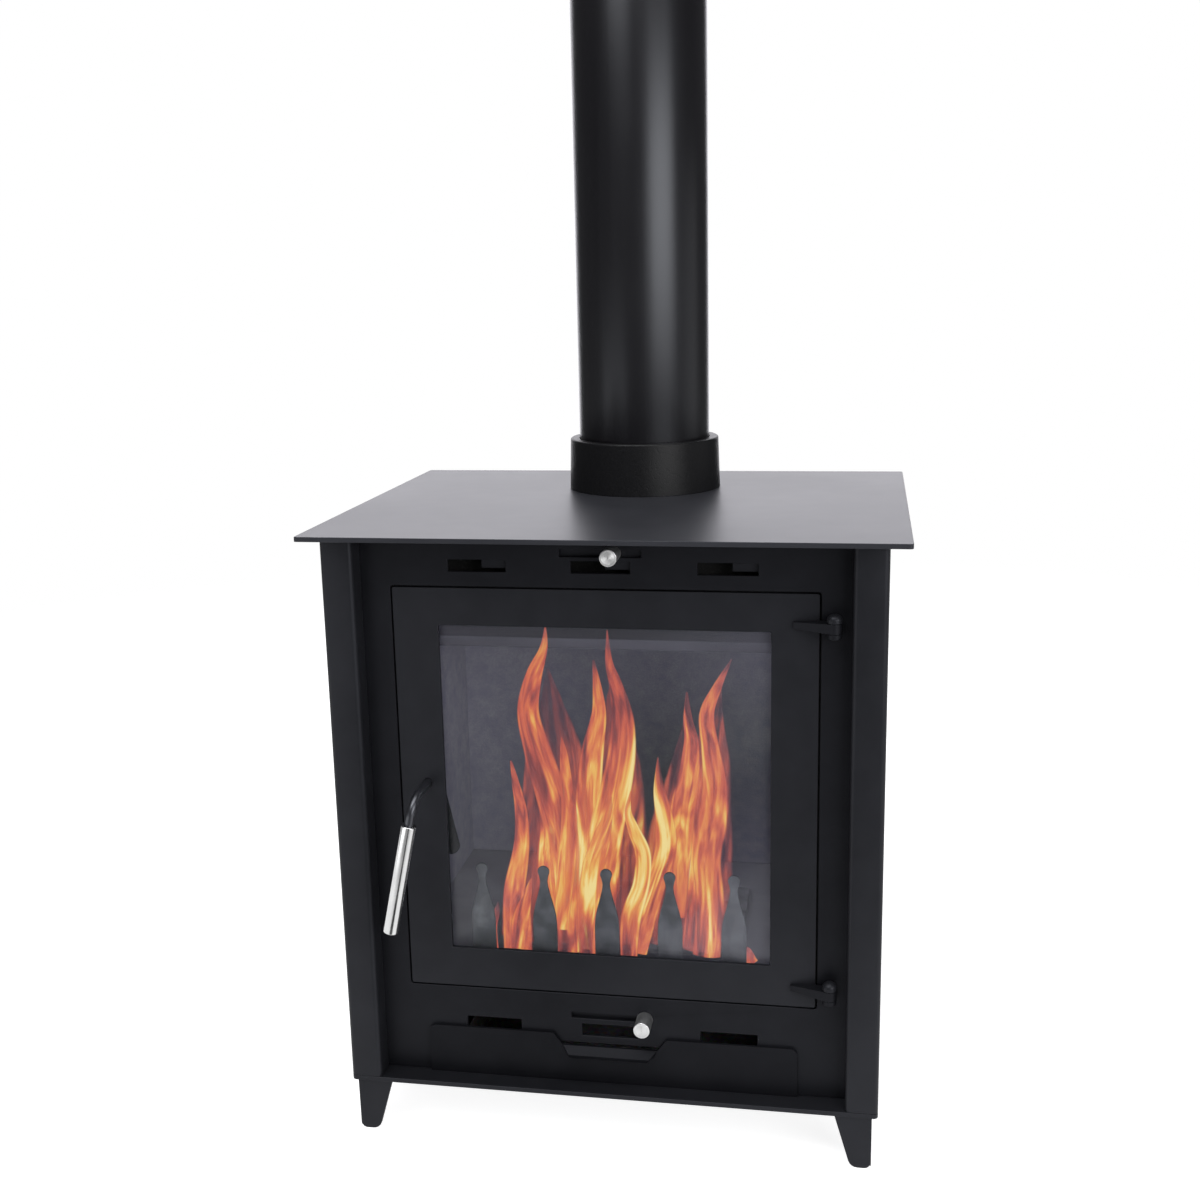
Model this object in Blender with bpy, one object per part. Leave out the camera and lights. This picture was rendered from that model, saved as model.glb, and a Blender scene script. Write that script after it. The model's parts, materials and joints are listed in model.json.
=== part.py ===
"""Freestanding wood burning stove on four short legs, with a length of flue pipe.

Metres, +Z up. The door faces -Y and the hearth is z = 0. The origin is on the hearth, under
the middle of the whole stove. A depth is a distance behind the front of the two pillars.
"""
import math

import bmesh
import bpy
from mathutils import Matrix, Vector

# General
GAP = 0.0003
EDGE = 0.0004
HANDLE_REACH = 0.034
TOP_BACK = 0.4656
FRONT_Y = (HANDLE_REACH - TOP_BACK) / 2

# Body shell
BODY_W = 0.556
BODY_D = 0.4517
SHEET = 0.003
BEND_R = 0.005
PILLAR_W = 0.0333
RECESS = 0.0254
FACE_T = 0.004
FACE_CORNER_R = 0.003
LEG_H = 0.0582
BASE_T = 0.005
TOP_Z = 0.6531
TOP_T = 0.005
TOP_W = 0.597
TOP_OVERHANG = 0.0137
TOP_CORNER_R = 0.003

# Legs
LEG_TOP_W = 0.038
LEG_FOOT_W = 0.021
LEG_T = 0.004
LEG_INSET = 0.006
LEG_LEAN = 0.001
LEG_FOOT_R = (0.010, 0.006)

# Flue
FLUE_DEPTH = 0.337
PIPE_R = 0.075
PIPE_T = 0.002
PIPE_LENGTH = 0.6
COLLAR_FOOT_R = 0.0875
COLLAR_RIM_R = 0.0858
COLLAR_H = 0.058
COLLAR_SEAT = 0.013
COLLAR_EASE = 0.0015
FLUE_HOLE_R = 0.070

# Door
DOOR_W = 0.426
DOOR_Z0 = 0.164
DOOR_Z1 = 0.596
DOOR_T = 0.005
DOOR_GAP = 0.0018
WINDOW_W = 0.334
WINDOW_Z0 = 0.207
WINDOW_Z1 = 0.5575
GLASS_MARGIN = 0.0085
GLASS_T = 0.004
GASKET_T = 0.0014
ROPE_W = 0.008
ROPE_T = 0.0072
ROPE_INSET = 0.0035
SURROUND_WALL = 0.004
SURROUND_LEDGE = 0.014
SURROUND_BACK = 0.0425
GASKET_SETBACK = 0.001
SEAL_CORNER_R = 0.014
DOOR_CORNER_R = 0.002
WINDOW_CORNER_R = 0.0015

# Glass clips, measured from the edge of the glass
CLIP_W = 0.018
CLIP_X = 0.105
CLIP_T = 0.0015
CLIP_FOOT = 0.0130
CLIP_RISE = 0.0010
CLIP_LAP = 0.0050
CLIP_SCREW_AT = 0.0078
CLIP_SCREW_R = 0.0040
CLIP_SCREW_H = 0.0027

# Hinges
HINGE_X = 0.2275
HINGE_DEPTH = 0.014
EYE_BOTTOMS = {"upper": 0.5605, "lower": 0.1805}
EYE_R = 0.0072
EYE_H = 0.010
ARM_END_X = 0.1877
ARM_END_T = 0.003
ARM_TAPER = 0.65
ARM_MIDDLE = 0.55
LUG_H = 0.0045
PIN_R = 0.004
PIN_HEAD_R = 0.0075
PIN_HEAD_H = 0.009
PIN_HEAD_WALL = 0.003
PIN_TAIL = 0.0015
HOLE_PLAY = 0.0003

# Handle and latch
SPINDLE_X = -0.1855
SPINDLE_Z = 0.3894
ROD_R = 0.0045
ROD_BEND_R = 0.020
ROD_END = 0.142
ROD_PROUD = 0.001
SLEEVE_EASE = 0.0008
SLEEVE_R = 0.008
SLEEVE_START = 0.0272
SLEEVE_END = 0.147
HANDLE_TILT = math.radians(12.1)
LATCH_TILT = math.radians(-11.3)
LATCH_LENGTH = 0.079
LATCH_HUB_R = 0.0078
LATCH_TIP_R = 0.009
LATCH_FRONT = 0.0462
LATCH_T = 0.005
NUT_R = 0.0075
NUT_T = 0.0065
BUSH_R = 0.008
BUSH_T = 0.009
KEEPER_W = 0.016
KEEPER_Z = (0.325, 0.395)
TURNED_EASE = 0.001

# Air sliders
SLOT_XS = (-0.1245, 0.0, 0.125)
SLOT_W = 0.059
UPPER_SLOT_Z = (0.6128, 0.6250)
UPPER_PIN_Z = (0.6290, 0.6370)
LOWER_SLOT_Z = (0.1150, 0.1287)
LOWER_PIN_Z = (0.1345, 0.1415)
PIN_SLOT_X = 0.0408
PIN_SLOT_R = 0.0015
UPPER_SLIDER_X = (-0.195, 0.206)
UPPER_SLIDER_Z = (0.6160, 0.6430)
UPPER_NOTCH_TOP = 0.6270
LOWER_SLIDER_X = (-0.170, 0.235)
LOWER_SLIDER_Z = (0.1125, 0.1452)
LOWER_NOTCH_TOP = 0.1300
UPPER_OPEN_SHIFT = -0.0253
UPPER_NOTCH_W = 0.050
LOWER_NOTCH_W = 0.060
SLIDER_T = 0.002
SLIDER_PLAY = 0.0005
KNOB_R = 0.0085
KNOB_END = 0.0013
KNOB_PIN_R = 0.0033
KNOB_EASE = 0.0007
UPPER_KNOB_X = 0.012
LOWER_KNOB_X = 0.0372
GUIDE_X = 0.0625
GUIDE_W = 0.016
GUIDE_T = 0.0015
GUIDE_LIP = 0.0085
UPPER_GUIDE_FOOT = 0.0110
LOWER_GUIDE_FOOT = 0.0045
AIRWASH_X = 0.240
AIRWASH_BACK = 0.0620
AIRWASH_T = 0.002
AIRWASH_BEND_Z = 0.6060
AIRWASH_SLOPE = 0.0134

# Ash drawer
DRAWER_W = 0.391
DRAWER_TOP = 0.1175
DRAWER_T = 0.003
DRAWER_CORNER_R = 0.007
DRAWER_PLAY = 0.0005
NOTCH_TOP_W = 0.120
LIP_ROOT_W = 0.101
LIP_EDGE_W = 0.084
LIP_ROOT_Z = 0.1045
LIP_EDGE_Z = 0.0949
LIP_REACH = 0.009
LIP_T = 0.0024
LIP_ROOT_H = 0.006
LIP_ROOT_R = 0.002
LIP_SINK = 0.0008
LIP_SIDE = 0.001
NOTCH_R = 0.003
ASH_OPENING_W = 0.340
ASH_OPENING_TOP = 0.107
PAN_W = 0.320
PAN_D = 0.310
PAN_TOP = 0.1035
PAN_T = 0.0015
PAN_LIFT = 0.001

# Firebox
FLOOR_Z = 0.150
FLOOR_T = 0.004
FLOOR_LEDGE = 0.012
FLOOR_PLAY = 0.002
GRATE_W = 0.250
GRATE_D = 0.190
GRATE_T = 0.010
GRATE_DEPTH = 0.230
GRATE_BARS = 8
GRATE_RIM = 0.016
GRATE_SLOT_SHARE = 0.56
GRATE_CORNER_R = 0.004
BRICK_T = 0.025
BRICK_FRONT = 0.060
BRICK_TOP = 0.500
RETAINER_W = 0.034
BAFFLE_T = 0.012
BAFFLE_FRONT = 0.160
GUARD_DEPTH = 0.0455
GUARD_T = 0.003
GUARD_X = -0.0044
GUARD_PITCH = 0.0665
GUARD_POSTS = 5
GUARD_BAR_Z = 0.190
GUARD_BAR_END = 0.012
POST_HALF = 0.013
POST_WAIST = (
    (0.0130, 0.229), (0.0122, 0.240), (0.0098, 0.251), (0.0068, 0.262), (0.0046, 0.271),
    (0.0038, 0.278))
POST_HEAD_Z = 0.2885
POST_HEAD_R = 0.0063

# Heights and depths that follow from the ones above
BASE_TOP = LEG_H + GAP + BASE_T
SHELL_Z0 = BASE_TOP + GAP
SHELL_Z1 = TOP_Z - TOP_T - GAP
FACE_BACK = RECESS + FACE_T
INNER_X = BODY_W / 2 - SHEET - GAP
BACK_FRONT = BODY_D - SHEET
DOOR_BACK = RECESS + DOOR_T
GLASS_FRONT = DOOR_BACK + GAP + GASKET_T + GAP
GLASS_BACK = GLASS_FRONT + GLASS_T
SLIDER_FRONT = FACE_BACK + SLIDER_PLAY
SLIDER_BACK = SLIDER_FRONT + SLIDER_T
UPPER_PIN_MID = sum(UPPER_PIN_Z) / 2
LOWER_PIN_MID = sum(LOWER_PIN_Z) / 2


# ---------------------------------------------------------------- outlines

def rect(u0, v0, u1, v1):
    """Corners of a rectangle, anticlockwise."""
    return [(u0, v0), (u1, v0), (u1, v1), (u0, v1)]


def fillet(before, corner, after, radius, steps):
    """Points of the arc that rounds one corner of an outline."""
    point = Vector(corner)
    to_before = (Vector(before) - point).normalized()
    to_after = (Vector(after) - point).normalized()
    half = to_before.angle(to_after) / 2
    centre = point + (to_before + to_after).normalized() * radius / math.sin(half)
    start = point + to_before * radius / math.tan(half) - centre
    end = point + to_after * radius / math.tan(half) - centre
    first = math.atan2(start.y, start.x)
    sweep = math.atan2(end.y, end.x) - first
    sweep = (sweep + math.pi) % (2 * math.pi) - math.pi
    angles = [first + sweep * step / steps for step in range(steps + 1)]
    return [(centre.x + radius * math.cos(a), centre.y + radius * math.sin(a)) for a in angles]


def rounded(corners, radii, steps=4):
    """Outline with each corner rounded to its own radius; radius 0 keeps it sharp."""
    points = []
    for i, (corner, radius) in enumerate(zip(corners, radii)):
        if radius == 0:
            points.append(corner)
        else:
            after = corners[(i + 1) % len(corners)]
            points += fillet(corners[i - 1], corner, after, radius, steps)
    return points


def rounded_rect(u0, v0, u1, v1, radius, steps=4):
    """Rectangle with all four corners rounded alike."""
    return rounded(rect(u0, v0, u1, v1), [radius] * 4, steps)


def arc(u, v, radius, start, end, steps):
    """Points along an arc, with its angles in degrees."""
    angles = [math.radians(start + (end - start) * step / steps) for step in range(steps + 1)]
    return [(u + radius * math.cos(a), v + radius * math.sin(a)) for a in angles]


def circle(u, v, radius, sides=24):
    """Closed circle outline."""
    return arc(u, v, radius, 0, 360, sides)[:-1]


def mirrored(outline):
    """Outline mirrored left to right."""
    return [(-u, v) for u, v in reversed(outline)]


# ---------------------------------------------------------------- solids

def new_object(name, bm, material):
    """Link a named object made from a bmesh, shaded smooth where it is round."""
    bmesh.ops.recalc_face_normals(bm, faces=bm.faces[:])
    mesh = bpy.data.meshes.new(name)
    bm.to_mesh(mesh)
    bm.free()
    mesh.shade_smooth()
    mesh.set_sharp_from_angle(angle=math.radians(35))
    mesh.materials.append(material)
    obj = bpy.data.objects.new(name, mesh)
    bpy.context.collection.objects.link(obj)
    return obj


def place(axis, u, v, w):
    """World point from in-plane coordinates u, v and the distance w along the axis."""
    points = {"X": (w, FRONT_Y + u, v), "Y": (u, FRONT_Y + w, v), "Z": (u, FRONT_Y + v, w)}
    return Vector(points[axis])


def prism(name, outline, axis, low, high, material, holes=(), edge=0.0):
    """Flat outline with holes, extruded along an axis, with its sharp edges eased by edge."""
    bm = bmesh.new()
    edges = []
    for loop in [outline, *holes]:
        verts = [bm.verts.new(place(axis, u, v, low)) for u, v in loop]
        edges += [bm.edges.new((verts[i - 1], verts[i])) for i in range(len(verts))]
    bmesh.ops.triangle_fill(bm, use_beauty=True, use_dissolve=False, edges=edges)
    extruded = bmesh.ops.extrude_face_region(bm, geom=bm.faces[:])["geom"]
    moved = [item for item in extruded if isinstance(item, bmesh.types.BMVert)]
    travel = place(axis, 0, 0, high) - place(axis, 0, 0, low)
    bmesh.ops.translate(bm, vec=travel, verts=moved)
    obj = new_object(name, bm, material)
    if edge:
        ease_edges(obj, edge)
    return obj


def ease_edges(obj, width):
    """Take the sharpness off an object's outer edges."""
    bevel = obj.modifiers.new("eased_edges", "BEVEL")
    bevel.width = width
    bevel.segments = 1
    bevel.limit_method = "ANGLE"
    bevel.angle_limit = math.radians(50)
    return bevel


def turned(name, profile, material, sides=32):
    """Solid of revolution about local Z through (radius, height) points of its section."""
    bm = bmesh.new()
    verts = [bm.verts.new((radius, 0, height)) for radius, height in profile]
    pairs = [(verts[i - 1], verts[i]) for i in range(len(verts))]
    edges = [bm.edges.new(pair) for pair in pairs if pair[0].co.x > 0 or pair[1].co.x > 0]
    bmesh.ops.spin(
        bm, geom=verts + edges, cent=(0, 0, 0), axis=(0, 0, 1), dvec=(0, 0, 0),
        angle=2 * math.pi, steps=sides, use_merge=True, use_duplicate=False)
    bmesh.ops.remove_doubles(bm, verts=bm.verts[:], dist=1e-6)
    return new_object(name, bm, material)


def stand(obj, x, depth, z, rotation=(0, 0, 0)):
    """Put a turned piece in its place."""
    obj.location = (x, FRONT_Y + depth, z)
    obj.rotation_euler = rotation
    return obj


def join_solid(obj, extra):
    """Weld a second shape onto a piece as one solid."""
    union = obj.modifiers.new("weld", "BOOLEAN")
    union.operation = "UNION"
    union.solver = "EXACT"
    union.object = extra
    extra.hide_render = True
    extra.display_type = "WIRE"
    return obj


# ---------------------------------------------------------------- materials

def principled(name, colour, roughness, metallic):
    """Principled material with plain values."""
    material = bpy.data.materials.new(name)
    material.use_nodes = True
    shader = material.node_tree.nodes["Principled BSDF"]
    shader.inputs["Base Color"].default_value = (*colour, 1.0)
    shader.inputs["Roughness"].default_value = roughness
    shader.inputs["Metallic"].default_value = metallic
    material.diffuse_color = (*colour, 1.0)
    return material


def black_paint():
    """Satin black stove paint."""
    return principled("black_paint", (0.022, 0.023, 0.027), 0.42, 0.0)


def cast_iron():
    """Black cast iron."""
    return principled("cast_iron", (0.03, 0.03, 0.032), 0.6, 0.3)


def polished_steel():
    """Bright turned stainless steel."""
    return principled("polished_steel", (0.78, 0.78, 0.77), 0.18, 1.0)


def plated_steel():
    """Zinc plated fasteners and small brackets."""
    return principled("plated_steel", (0.5, 0.5, 0.49), 0.4, 1.0)


def ceramic_glass():
    """Clear heat resistant glass."""
    material = principled("ceramic_glass", (0.75, 0.78, 0.78), 0.05, 0.0)
    material.node_tree.nodes["Principled BSDF"].inputs["Alpha"].default_value = 0.3
    return material


def seal_rope():
    """Graphite black glass fibre seal."""
    return principled("seal_rope", (0.06, 0.06, 0.06), 0.95, 0.0)


def firebrick():
    """Pale vermiculite board."""
    return principled("firebrick", (0.62, 0.5, 0.34), 0.95, 0.0)


# ---------------------------------------------------------------- body shell

def side_outline():
    """Plan of the right side panel: wall, pillar front and the return to the face plate."""
    half = BODY_W / 2
    inner = half - PILLAR_W
    outer_bend = BEND_R
    inner_bend = BEND_R - SHEET
    corners = [
        (half, BODY_D), (half - SHEET, BODY_D), (half - SHEET, SHEET), (inner + SHEET, SHEET),
        (inner + SHEET, RECESS - GAP), (inner, RECESS - GAP), (inner, 0), (half, 0)]
    radii = [0, 0, inner_bend, inner_bend, 0, 0, outer_bend, outer_bend]
    return rounded(corners, radii, 5)


def side_panels(paint):
    """Two folded side panels whose front edges form the pillars."""
    right = side_outline()
    prism("side_panel_right", right, "Z", SHELL_Z0, SHELL_Z1, paint)
    prism("side_panel_left", mirrored(right), "Z", SHELL_Z0, SHELL_Z1, paint)


def back_panel(paint):
    """Flat panel between the side panels."""
    outline = rect(-INNER_X, SHELL_Z0, INNER_X, SHELL_Z1)
    return prism("back_panel", outline, "Y", BACK_FRONT, BODY_D, paint)


def base_plate(paint):
    """Bottom plate; it runs forward to the pillar fronts as a shelf under the drawer."""
    half = BODY_W / 2
    corners = rect(-half, 0, half, BODY_D)
    outline = rounded(corners, [BEND_R, BEND_R, 0, 0], 5)
    return prism("base_plate", outline, "Z", LEG_H + GAP, BASE_TOP, paint, edge=EDGE)


def top_plate(paint):
    """Top plate with the flue hole, a little larger than the body all round."""
    outline = rounded_rect(-TOP_W / 2, -TOP_OVERHANG, TOP_W / 2, TOP_BACK, TOP_CORNER_R, 3)
    hole = circle(0, FLUE_DEPTH, FLUE_HOLE_R, 48)
    return prism("top_plate", outline, "Z", TOP_Z - TOP_T, TOP_Z, paint, [hole], EDGE)


def face_holes():
    """Door opening, air slots and pin slots of the face plate."""
    half = DOOR_W / 2 + DOOR_GAP
    z0 = DOOR_Z0 - DOOR_GAP
    z1 = DOOR_Z1 + DOOR_GAP
    holes = [rounded_rect(-half, z0, half, z1, FACE_CORNER_R, 3)]
    for z0, z1 in (UPPER_SLOT_Z, LOWER_SLOT_Z):
        holes += [rect(x - SLOT_W / 2, z0, x + SLOT_W / 2, z1) for x in SLOT_XS]
    for z0, z1 in (UPPER_PIN_Z, LOWER_PIN_Z):
        holes.append(rounded_rect(-PIN_SLOT_X, z0, PIN_SLOT_X, z1, PIN_SLOT_R, 3))
    return holes


def face_plate(paint):
    """Recessed front with the door opening, the air slots and the ash opening."""
    ash = ASH_OPENING_W / 2
    outline = [
        (-INNER_X, SHELL_Z0), (-ash, SHELL_Z0), (-ash, ASH_OPENING_TOP), (ash, ASH_OPENING_TOP),
        (ash, SHELL_Z0), (INNER_X, SHELL_Z0), (INNER_X, SHELL_Z1), (-INNER_X, SHELL_Z1)]
    return prism("face_plate", outline, "Y", RECESS, FACE_BACK, paint, face_holes(), EDGE)


def surround_loop(inset):
    """Outline round the door opening, inset from the outside of the surround's wall."""
    half = DOOR_W / 2 + DOOR_GAP + SURROUND_WALL - inset
    z0 = DOOR_Z0 - DOOR_GAP - SURROUND_WALL + inset
    z1 = DOOR_Z1 + DOOR_GAP + SURROUND_WALL - inset
    return rect(-half, z0, half, z1)


def door_surround(paint):
    """L-section frame behind the face plate that the door's rope seal closes against."""
    bm = bmesh.new()
    section = [
        (0, FACE_BACK + GAP), (SURROUND_WALL, FACE_BACK + GAP),
        (SURROUND_WALL, SURROUND_BACK - SURROUND_WALL),
        (SURROUND_WALL + SURROUND_LEDGE, SURROUND_BACK - SURROUND_WALL),
        (SURROUND_WALL + SURROUND_LEDGE, SURROUND_BACK), (0, SURROUND_BACK)]
    loops = [[bm.verts.new(place("Y", u, v, depth)) for u, v in surround_loop(inset)]
             for inset, depth in section]
    for i, loop in enumerate(loops):
        for j in range(4):
            bm.faces.new((loops[i - 1][j - 1], loops[i - 1][j], loop[j], loop[j - 1]))
    return new_object("door_surround", bm, paint)


def leg_outline():
    """Front view of a right-hand leg: upright outer edge, tapered inner edge, round foot."""
    outer = BODY_W / 2 - LEG_INSET
    corners = [
        (outer - LEG_TOP_W, LEG_H), (outer - LEG_FOOT_W, 0), (outer - LEG_LEAN, 0),
        (outer, LEG_H)]
    return rounded(corners, [0, *LEG_FOOT_R, 0], 4)


def legs(paint):
    """Four legs, each an angle of two tapered plates."""
    outer = BODY_W / 2 - LEG_INSET
    depths = {"front": LEG_INSET / 2, "back": BODY_D - LEG_INSET / 2}
    for end, depth in depths.items():
        inward = 1 if end == "front" else -1
        flank = [(depth + inward * (outer - u), v) for u, v in leg_outline()]
        span = sorted((depth, depth + inward * LEG_T))
        for side, sign in (("right", 1), ("left", -1)):
            face = leg_outline() if sign > 0 else mirrored(leg_outline())
            reach = sorted((sign * outer, sign * (outer - LEG_T)))
            name = f"leg_{end}_{side}"
            leg = prism(name, face, "Y", span[0], span[1], paint)
            flange = prism(f"{name}_flange", flank, "X", reach[0], reach[1], paint)
            join_solid(leg, flange)


# ---------------------------------------------------------------- flue

def flue_collar(iron):
    """Cast collar on the top plate, with a step inside that the pipe stands on."""
    bore = PIPE_R + GAP
    profile = [
        (FLUE_HOLE_R, 0), (COLLAR_FOOT_R, 0), (COLLAR_RIM_R, COLLAR_H - COLLAR_EASE),
        (COLLAR_RIM_R - COLLAR_EASE, COLLAR_H), (bore + TURNED_EASE, COLLAR_H),
        (bore, COLLAR_H - TURNED_EASE), (bore, COLLAR_SEAT), (FLUE_HOLE_R, COLLAR_SEAT)]
    return stand(turned("flue_collar", profile, iron, 64), 0, FLUE_DEPTH, TOP_Z + GAP)


def flue_pipe(paint):
    """Length of steel flue pipe standing in the collar."""
    inner = PIPE_R - PIPE_T
    profile = [(inner, 0), (PIPE_R, 0), (PIPE_R, PIPE_LENGTH), (inner, PIPE_LENGTH)]
    foot = TOP_Z + GAP + COLLAR_SEAT + GAP
    return stand(turned("flue_pipe", profile, paint, 64), 0, FLUE_DEPTH, foot)


# ---------------------------------------------------------------- firebox

def firebox_floor(steel):
    """Plate between firebox and ash space, cut out under the grate."""
    half_w = GRATE_W / 2 - FLOOR_LEDGE
    half_d = GRATE_D / 2 - FLOOR_LEDGE
    hole = rect(-half_w, GRATE_DEPTH - half_d, half_w, GRATE_DEPTH + half_d)
    outline = rect(-INNER_X, SLIDER_BACK + FLOOR_PLAY, INNER_X, BACK_FRONT - GAP)
    return prism("firebox_floor", outline, "Z", FLOOR_Z - FLOOR_T, FLOOR_Z, steel, [hole])


def grate(iron):
    """Cast grate of straight bars over the hole in the floor."""
    pitch = (GRATE_W - 2 * GRATE_RIM) / GRATE_BARS
    half_slot = pitch * GRATE_SLOT_SHARE / 2
    front = GRATE_DEPTH - GRATE_D / 2
    back = GRATE_DEPTH + GRATE_D / 2
    holes = []
    for bar in range(GRATE_BARS):
        x = -GRATE_W / 2 + GRATE_RIM + pitch * (bar + 0.5)
        holes.append(rect(x - half_slot, front + GRATE_RIM, x + half_slot, back - GRATE_RIM))
    outline = rounded_rect(-GRATE_W / 2, front, GRATE_W / 2, back, GRATE_CORNER_R, 3)
    return prism("grate", outline, "Z", FLOOR_Z + GAP, FLOOR_Z + GAP + GRATE_T, iron, holes)


def firebricks(board):
    """Side and back linings that stand on the floor."""
    z0 = FLOOR_Z + GAP
    inner = INNER_X - BRICK_T
    back = BACK_FRONT - GAP - BRICK_T
    side = rect(inner, BRICK_FRONT, INNER_X, back - GAP)
    prism("firebrick_right", side, "Z", z0, BRICK_TOP, board)
    prism("firebrick_left", mirrored(side), "Z", z0, BRICK_TOP, board)
    rear = rect(-INNER_X, back, INNER_X, back + BRICK_T)
    prism("firebrick_back", rear, "Z", z0, BRICK_TOP, board)


def brick_retainers(steel):
    """Upright strips in front of the side bricks."""
    depth = BRICK_FRONT - GAP - SHEET
    strip = rect(INNER_X - RETAINER_W, FLOOR_Z + GAP, INNER_X, BRICK_TOP)
    prism("brick_retainer_right", strip, "Y", depth, depth + SHEET, steel)
    prism("brick_retainer_left", mirrored(strip), "Y", depth, depth + SHEET, steel)


def baffle_plate(board):
    """Board laid on the bricks that sends the smoke forward before it reaches the flue."""
    outline = rect(-INNER_X, BAFFLE_FRONT, INNER_X, BACK_FRONT - GAP)
    z0 = BRICK_TOP + GAP
    return prism("baffle_plate", outline, "Z", z0, z0 + BAFFLE_T, board)


def post_side():
    """Right-hand edge of one guard post, from the bar up to its round head."""
    edge = [(POST_HALF, GUARD_BAR_Z), *POST_WAIST]
    neck = math.degrees(math.acos(edge[-1][0] / POST_HEAD_R))
    return edge + arc(0, POST_HEAD_Z, POST_HEAD_R, -neck, 90, 7)[1:]


def log_guard(iron):
    """Plate with five skittle-shaped posts that keeps the logs off the glass."""
    half = GUARD_PITCH * (GUARD_POSTS - 1) / 2 + POST_HALF + GUARD_BAR_END
    side = post_side()
    post = side + [(-u, v) for u, v in reversed(side[:-1])]
    outline = [(-half, FLOOR_Z + GAP), (half, FLOOR_Z + GAP), (half, GUARD_BAR_Z)]
    for number in reversed(range(GUARD_POSTS)):
        x = (number - (GUARD_POSTS - 1) / 2) * GUARD_PITCH
        outline += [(x + u, v) for u, v in post]
    outline.append((-half, GUARD_BAR_Z))
    moved = [(GUARD_X + u, v) for u, v in outline]
    return prism("log_guard", moved, "Y", GUARD_DEPTH, GUARD_DEPTH + GUARD_T, iron)


def airwash_channel(steel):
    """Folded strip that turns the upper air down over the inside of the glass."""
    top = SHELL_Z1 - GAP
    inner = AIRWASH_BACK - AIRWASH_T
    inner_bend = AIRWASH_BEND_Z + AIRWASH_T * math.tan(math.radians(22.5))
    edge = (AIRWASH_BACK - AIRWASH_SLOPE, AIRWASH_BEND_Z - AIRWASH_SLOPE)
    skin = AIRWASH_T * math.sqrt(0.5)
    outline = [
        (AIRWASH_BACK, top), (inner, top), (inner, inner_bend), (edge[0] - skin, edge[1] + skin),
        edge, (AIRWASH_BACK, AIRWASH_BEND_Z)]
    return prism("airwash_channel", outline, "X", -AIRWASH_X, AIRWASH_X, steel)


def latch_keeper(steel):
    """Strip behind the surround that the latch arm turns in behind."""
    edge = -(DOOR_W / 2 + DOOR_GAP - SURROUND_LEDGE)
    outline = rect(edge - KEEPER_W, KEEPER_Z[0], edge, KEEPER_Z[1])
    return prism("latch_keeper", outline, "Y", SURROUND_BACK + GAP, LATCH_FRONT - GAP, steel)


# ---------------------------------------------------------------- hinges

def hinge_brackets(paint):
    """Lug on the face plate under each eye."""
    for level, eye in EYE_BOTTOMS.items():
        outline = arc(HINGE_X, HINGE_DEPTH, EYE_R, 180, 360, 12)
        outline += [(HINGE_X + EYE_R, RECESS - GAP), (HINGE_X - EYE_R, RECESS - GAP)]
        hole = circle(HINGE_X, HINGE_DEPTH, PIN_R + HOLE_PLAY)
        top = eye - GAP
        prism(f"hinge_bracket_{level}", outline, "Z", top - LUG_H, top, paint, [hole])


def hinge_pins(paint):
    """Dome-headed pin through each eye and lug."""
    seat = EYE_H + GAP
    base = seat + PIN_HEAD_WALL
    flatten = (PIN_HEAD_H - PIN_HEAD_WALL) / PIN_HEAD_R
    head = arc(0, 0, PIN_HEAD_R, 0, 90, 6)
    dome = [(radius, base + height * flatten) for radius, height in head[:-1]]
    tail = -GAP - LUG_H - PIN_TAIL
    profile = [
        (0, tail), (PIN_R, tail), (PIN_R, seat), (PIN_HEAD_R, seat), *dome,
        (0, seat + PIN_HEAD_H)]
    for level, eye in EYE_BOTTOMS.items():
        pin = turned(f"hinge_pin_{level}", profile, paint, 24)
        stand(pin, HINGE_X, HINGE_DEPTH, eye)


def hinge_arm(level, eye, paint):
    """Arm that slants out from the door face to the eye, thinner towards its end."""
    seat = RECESS - GAP
    outline = [(ARM_END_X, seat), (ARM_END_X, seat - ARM_END_T)]
    outline += arc(HINGE_X, HINGE_DEPTH, EYE_R, 250, 430, 14)
    outline.append((DOOR_W / 2 - DOOR_CORNER_R / 2, seat))
    hole = circle(HINGE_X, HINGE_DEPTH, PIN_R + HOLE_PLAY)
    arm = prism(f"hinge_arm_{level}", outline, "Z", eye, eye + EYE_H, paint, [hole])
    middle = eye + EYE_H * ARM_MIDDLE
    for vertex in arm.data.vertices:
        if vertex.co.x < ARM_END_X + EDGE:
            vertex.co.z = middle + (vertex.co.z - middle) * ARM_TAPER
    return arm


# ---------------------------------------------------------------- door

def door_frame(paint):
    """Flat door plate with its window and the hole for the spindle."""
    half = DOOR_W / 2
    outline = rounded_rect(-half, DOOR_Z0, half, DOOR_Z1, DOOR_CORNER_R, 3)
    pane = WINDOW_W / 2
    window = rounded_rect(-pane, WINDOW_Z0, pane, WINDOW_Z1, WINDOW_CORNER_R, 3)
    bore = circle(SPINDLE_X, SPINDLE_Z, ROD_R + HOLE_PLAY)
    return prism("door_frame", outline, "Y", RECESS, DOOR_BACK, paint, [window, bore], EDGE)


def door_glass(glass):
    """Ceramic glass behind the window."""
    half = WINDOW_W / 2 + GLASS_MARGIN
    outline = rect(-half, WINDOW_Z0 - GLASS_MARGIN, half, WINDOW_Z1 + GLASS_MARGIN)
    return prism("door_glass", outline, "Y", GLASS_FRONT, GLASS_BACK, glass)


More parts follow.
